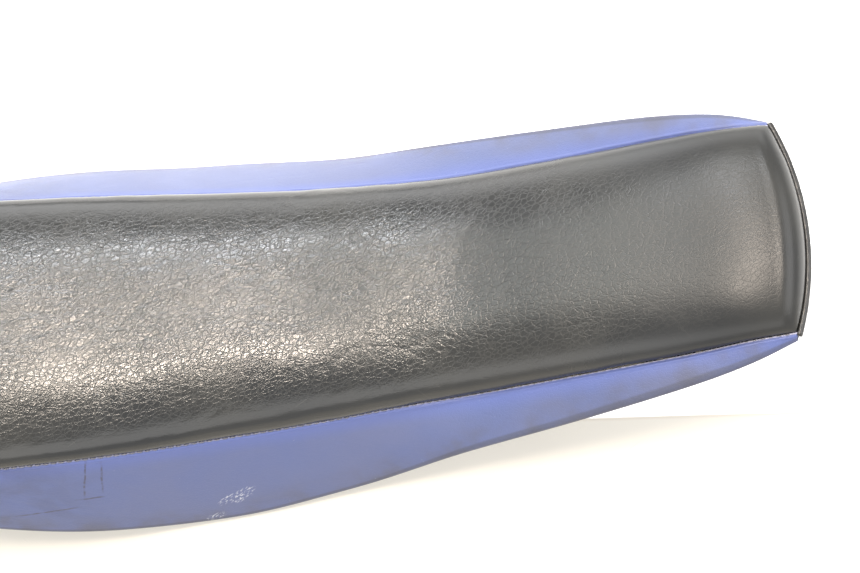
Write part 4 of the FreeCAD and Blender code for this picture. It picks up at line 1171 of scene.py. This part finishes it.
def pale_floor():
    """A plain pale floor under the lowest point of the seat, with a white backdrop laid on it."""
    finish = Finish("floor_pale")
    cloud = finish.clouds(finish.place, 0.35, 4.0, 0.3, 0.7)
    ground = finish.mix(cloud, FLOOR_COLOURS[0], FLOOR_COLOURS[1])
    scuffs = scratch_mask(finish, finish.place, 0.5)
    scuffed = finish.mix(scuffs, ground, FLOOR_COLOURS[2])
    slant = finish.times(finish.split(finish.place, 0), math.tan(BACKDROP_TURN))
    across = finish.math("SUBTRACT", finish.split(finish.place, 1), slant)
    beyond = finish.math("SUBTRACT", across, BACKDROP_EDGE)
    sheet = finish.scaled(beyond, 0.0, 1.5 * MM)
    shade = finish.scaled(finish.math("ABSOLUTE", beyond), 0.0, 2 * MM, 0.35, 0.0)
    laid = finish.mix(sheet, scuffed, BACKDROP_COLOUR)
    shown = finish.mix(shade, laid, BACKDROP_SHADE)
    reflected = finish.mix(1 - FLOOR_GLOW, shown, (0.0, 0.0, 0.0))
    finish.set(Base_Color=reflected, Roughness=0.75)
    finish.set(Emission_Color=shown, Emission_Strength=FLOOR_GLOW)
    half = FLOOR_HALF
    corners = [(-half, -half, 0), (half, -half, 0), (half, half, 0), (-half, half, 0)]
    floor = mesh_object("floor", corners, [(0, 1, 2, 3)])
    floor.location = (0, 0, cad_box[0][2] - 0.5 * MM)
    dress(floor, finish.material)


def soft_light(name, angle_x, angle_y, turn, size_x, size_y, power, colour):
    """A rectangular soft light, leaning from overhead by angles towards +X and +Y, then turned."""
    data = bpy.data.lights.new(name, "AREA")
    data.shape = "RECTANGLE"
    data.size, data.size_y = size_x, size_y
    data.energy = power
    data.color = colour
    light = placed(name, data)
    out = Vector((math.tan(math.radians(angle_x)), math.tan(math.radians(angle_y)), 1)).normalized()
    light.location = Vector(LAMP_AIM) + out * LAMP_DISTANCE
    level = (Vector((1, 0, 0)) - out * out.x).normalized()
    side = Matrix.Rotation(math.radians(turn), 3, out) @ level
    light.rotation_euler = Matrix((side, out.cross(side), out)).transposed().to_euler()


def studio_sky():
    """A pale room: bright walls low down, a darker band above them and a soft bright ceiling."""
    world = bpy.data.worlds.new("studio")
    bpy.context.scene.world = world
    world.use_nodes = True
    tree = world.node_tree
    place = tree.nodes.new("ShaderNodeTexCoord")
    split = tree.nodes.new("ShaderNodeSeparateXYZ")
    ramp = tree.nodes.new("ShaderNodeValToRGB")
    tree.links.new(place.outputs["Generated"], split.inputs[0])
    tree.links.new(split.outputs["Z"], ramp.inputs[0])
    tree.links.new(ramp.outputs[0], tree.nodes["Background"].inputs["Color"])
    tree.nodes["Background"].inputs["Strength"].default_value = 1.0
    points = ramp.color_ramp.elements
    points[0].position, points[1].position = SKY[0][0], SKY[-1][0]
    for height, shade in SKY[1:-1]:
        points.new(height)
    for point, (height, shade) in zip(points, SKY):
        point.position = height
        point.color = (shade, shade, shade * 1.01, 1)


def photo_camera():
    """The camera above and to the left of the seat, looking steeply down at its rear two thirds."""
    data = bpy.data.cameras.new("camera")
    data.lens = CAMERA_LENS
    camera = placed("camera", data)
    azimuth, elevation, roll = (math.radians(angle) for angle in CAMERA_ANGLES)
    level_share = math.cos(elevation)
    back = Vector((math.sin(azimuth) * level_share, -math.cos(azimuth) * level_share,
                   math.sin(elevation)))
    level = Vector((0, 0, 1)).cross(back).normalized()
    upright = back.cross(level)
    right = level * math.cos(roll) + upright * math.sin(roll)
    up = upright * math.cos(roll) - level * math.sin(roll)
    camera.location = Vector(CAMERA_AIM) + back * CAMERA_DISTANCE
    camera.rotation_euler = Matrix((right, up, back)).transposed().to_euler()
    bpy.context.scene.camera = camera


# ---------------------------------------------------------------- build

BELLY_X = float(edge_height.places[edge_height.values.argmin()])
LEFT_SEAM = CLOTH_SIDE_COLUMNS - 1
RIGHT_SEAM = LEFT_SEAM + CLOTH_TOP_COLUMNS - 1
FIRST_STITCH = NOSE_X + NOSE_ROLL

# Rubbed marks on the left side panel: distance along the seat, drop below the seam, reach.
SCUFFS = [
    (0.287, 0.056, 0.010),
    (0.276, 0.059, 0.007),
    (0.262, 0.080, 0.009),
]

# Dirt lines on the left side panel: middle along the seat, middle drop, turn and length.
STROKE_WIDTH = 1.6 * MM
STROKES = [
    (0.1935, 0.018, 1.87, 0.042),
    (0.2045, 0.018, 1.80, 0.034),
    (0.1915, 0.037, 0.0, 0.022),
    (0.1605, 0.047, -0.10, 0.050),
]

FLOOR_HALF = 3.0
FLOOR_COLOURS = [(0.50, 0.475, 0.425), (0.54, 0.515, 0.465), (0.36, 0.34, 0.30)]
FLOOR_GLOW = 0.85
BACKDROP_COLOUR = (1.0, 1.0, 0.99)
BACKDROP_SHADE = (0.42, 0.36, 0.30)
BACKDROP_EDGE = -0.0401
BACKDROP_TURN = -0.0879

# Brightness of the room at heights from 0 straight down to 1 straight up.
SKY = [(0.0, 0.85), (0.10, 0.85), (0.30, 0.60), (0.50, 0.30),
       (0.80, 0.30), (0.95, 0.55), (1.0, 0.6)]

# Soft lights: name, lean towards +X and +Y and turn in degrees, width, depth, power and colour.
LAMP_AIM = (0.35, 0, 0)
LAMP_DISTANCE = 2.4
LAMPS = [
    ("overhead_warm", 1.5, 4.5, 35, 0.85, 0.22, 52, (1.0, 0.87, 0.74)),
    ("overhead_cool", 0, 28, 0, 0.80, 0.24, 27, (0.94, 0.97, 1.0)),
    ("overhead_wide", -23, 14, 0, 1.15, 1.1, 16, (0.95, 1.0, 0.95)),
    ("far_wall", 0, 70, 0, 3.4, 1.2, 50, (1.0, 1.0, 1.0)),
    ("near_wall", -8, -56, 0, 2.8, 1.2, 24, (1.0, 0.99, 0.97)),
    ("rear_fill", 50, -5, 0, 1.4, 2.2, 40, (0.99, 0.99, 1.0)),
]

# Camera: the point it looks at, its azimuth, elevation and roll in degrees, distance and lens.
CAMERA_AIM = (0.43865, -0.01255, 0.03326)
CAMERA_ANGLES = (26.10, 74.41, -32.50)
CAMERA_DISTANCE = 1.27
CAMERA_LENS = 85

finishes = make_finishes()

cover_shift = simulate_cover()
rear_gap = seam_height.at(REAR_X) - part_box("rear_piping")[0].z + 0.05 * MM

add_piece(make_top(cover_shift), "black_vinyl", "top_cover_panel")
add_piece(make_side(cover_shift, 1), "blue_vinyl", "right_side_panel")
add_piece(make_side(cover_shift, -1), "blue_vinyl", "left_side_panel")
add_piece(make_rear_end(rear_gap), "black_vinyl", "rear_end_panel")
add_piece(make_welt(), "piping_vinyl", "rear_piping")
add_piece(make_threads(1), "thread", "right_seam_stitches")
add_piece(make_threads(-1), "thread", "left_seam_stitches")
add_piece(make_foam(), "foam", "foam_pad")

for part in frame["record"]["subparts"]:
    node = frame["nodes"][part["node"]]
    if not node.hide_render:
        dress(node, finishes[part["material_slot"]])

pale_floor()
for lamp in LAMPS:
    soft_light(*lamp)
studio_sky()
photo_camera()
bpy.context.scene.view_settings.view_transform = "Standard"
bpy.context.scene.view_settings.look = "None"
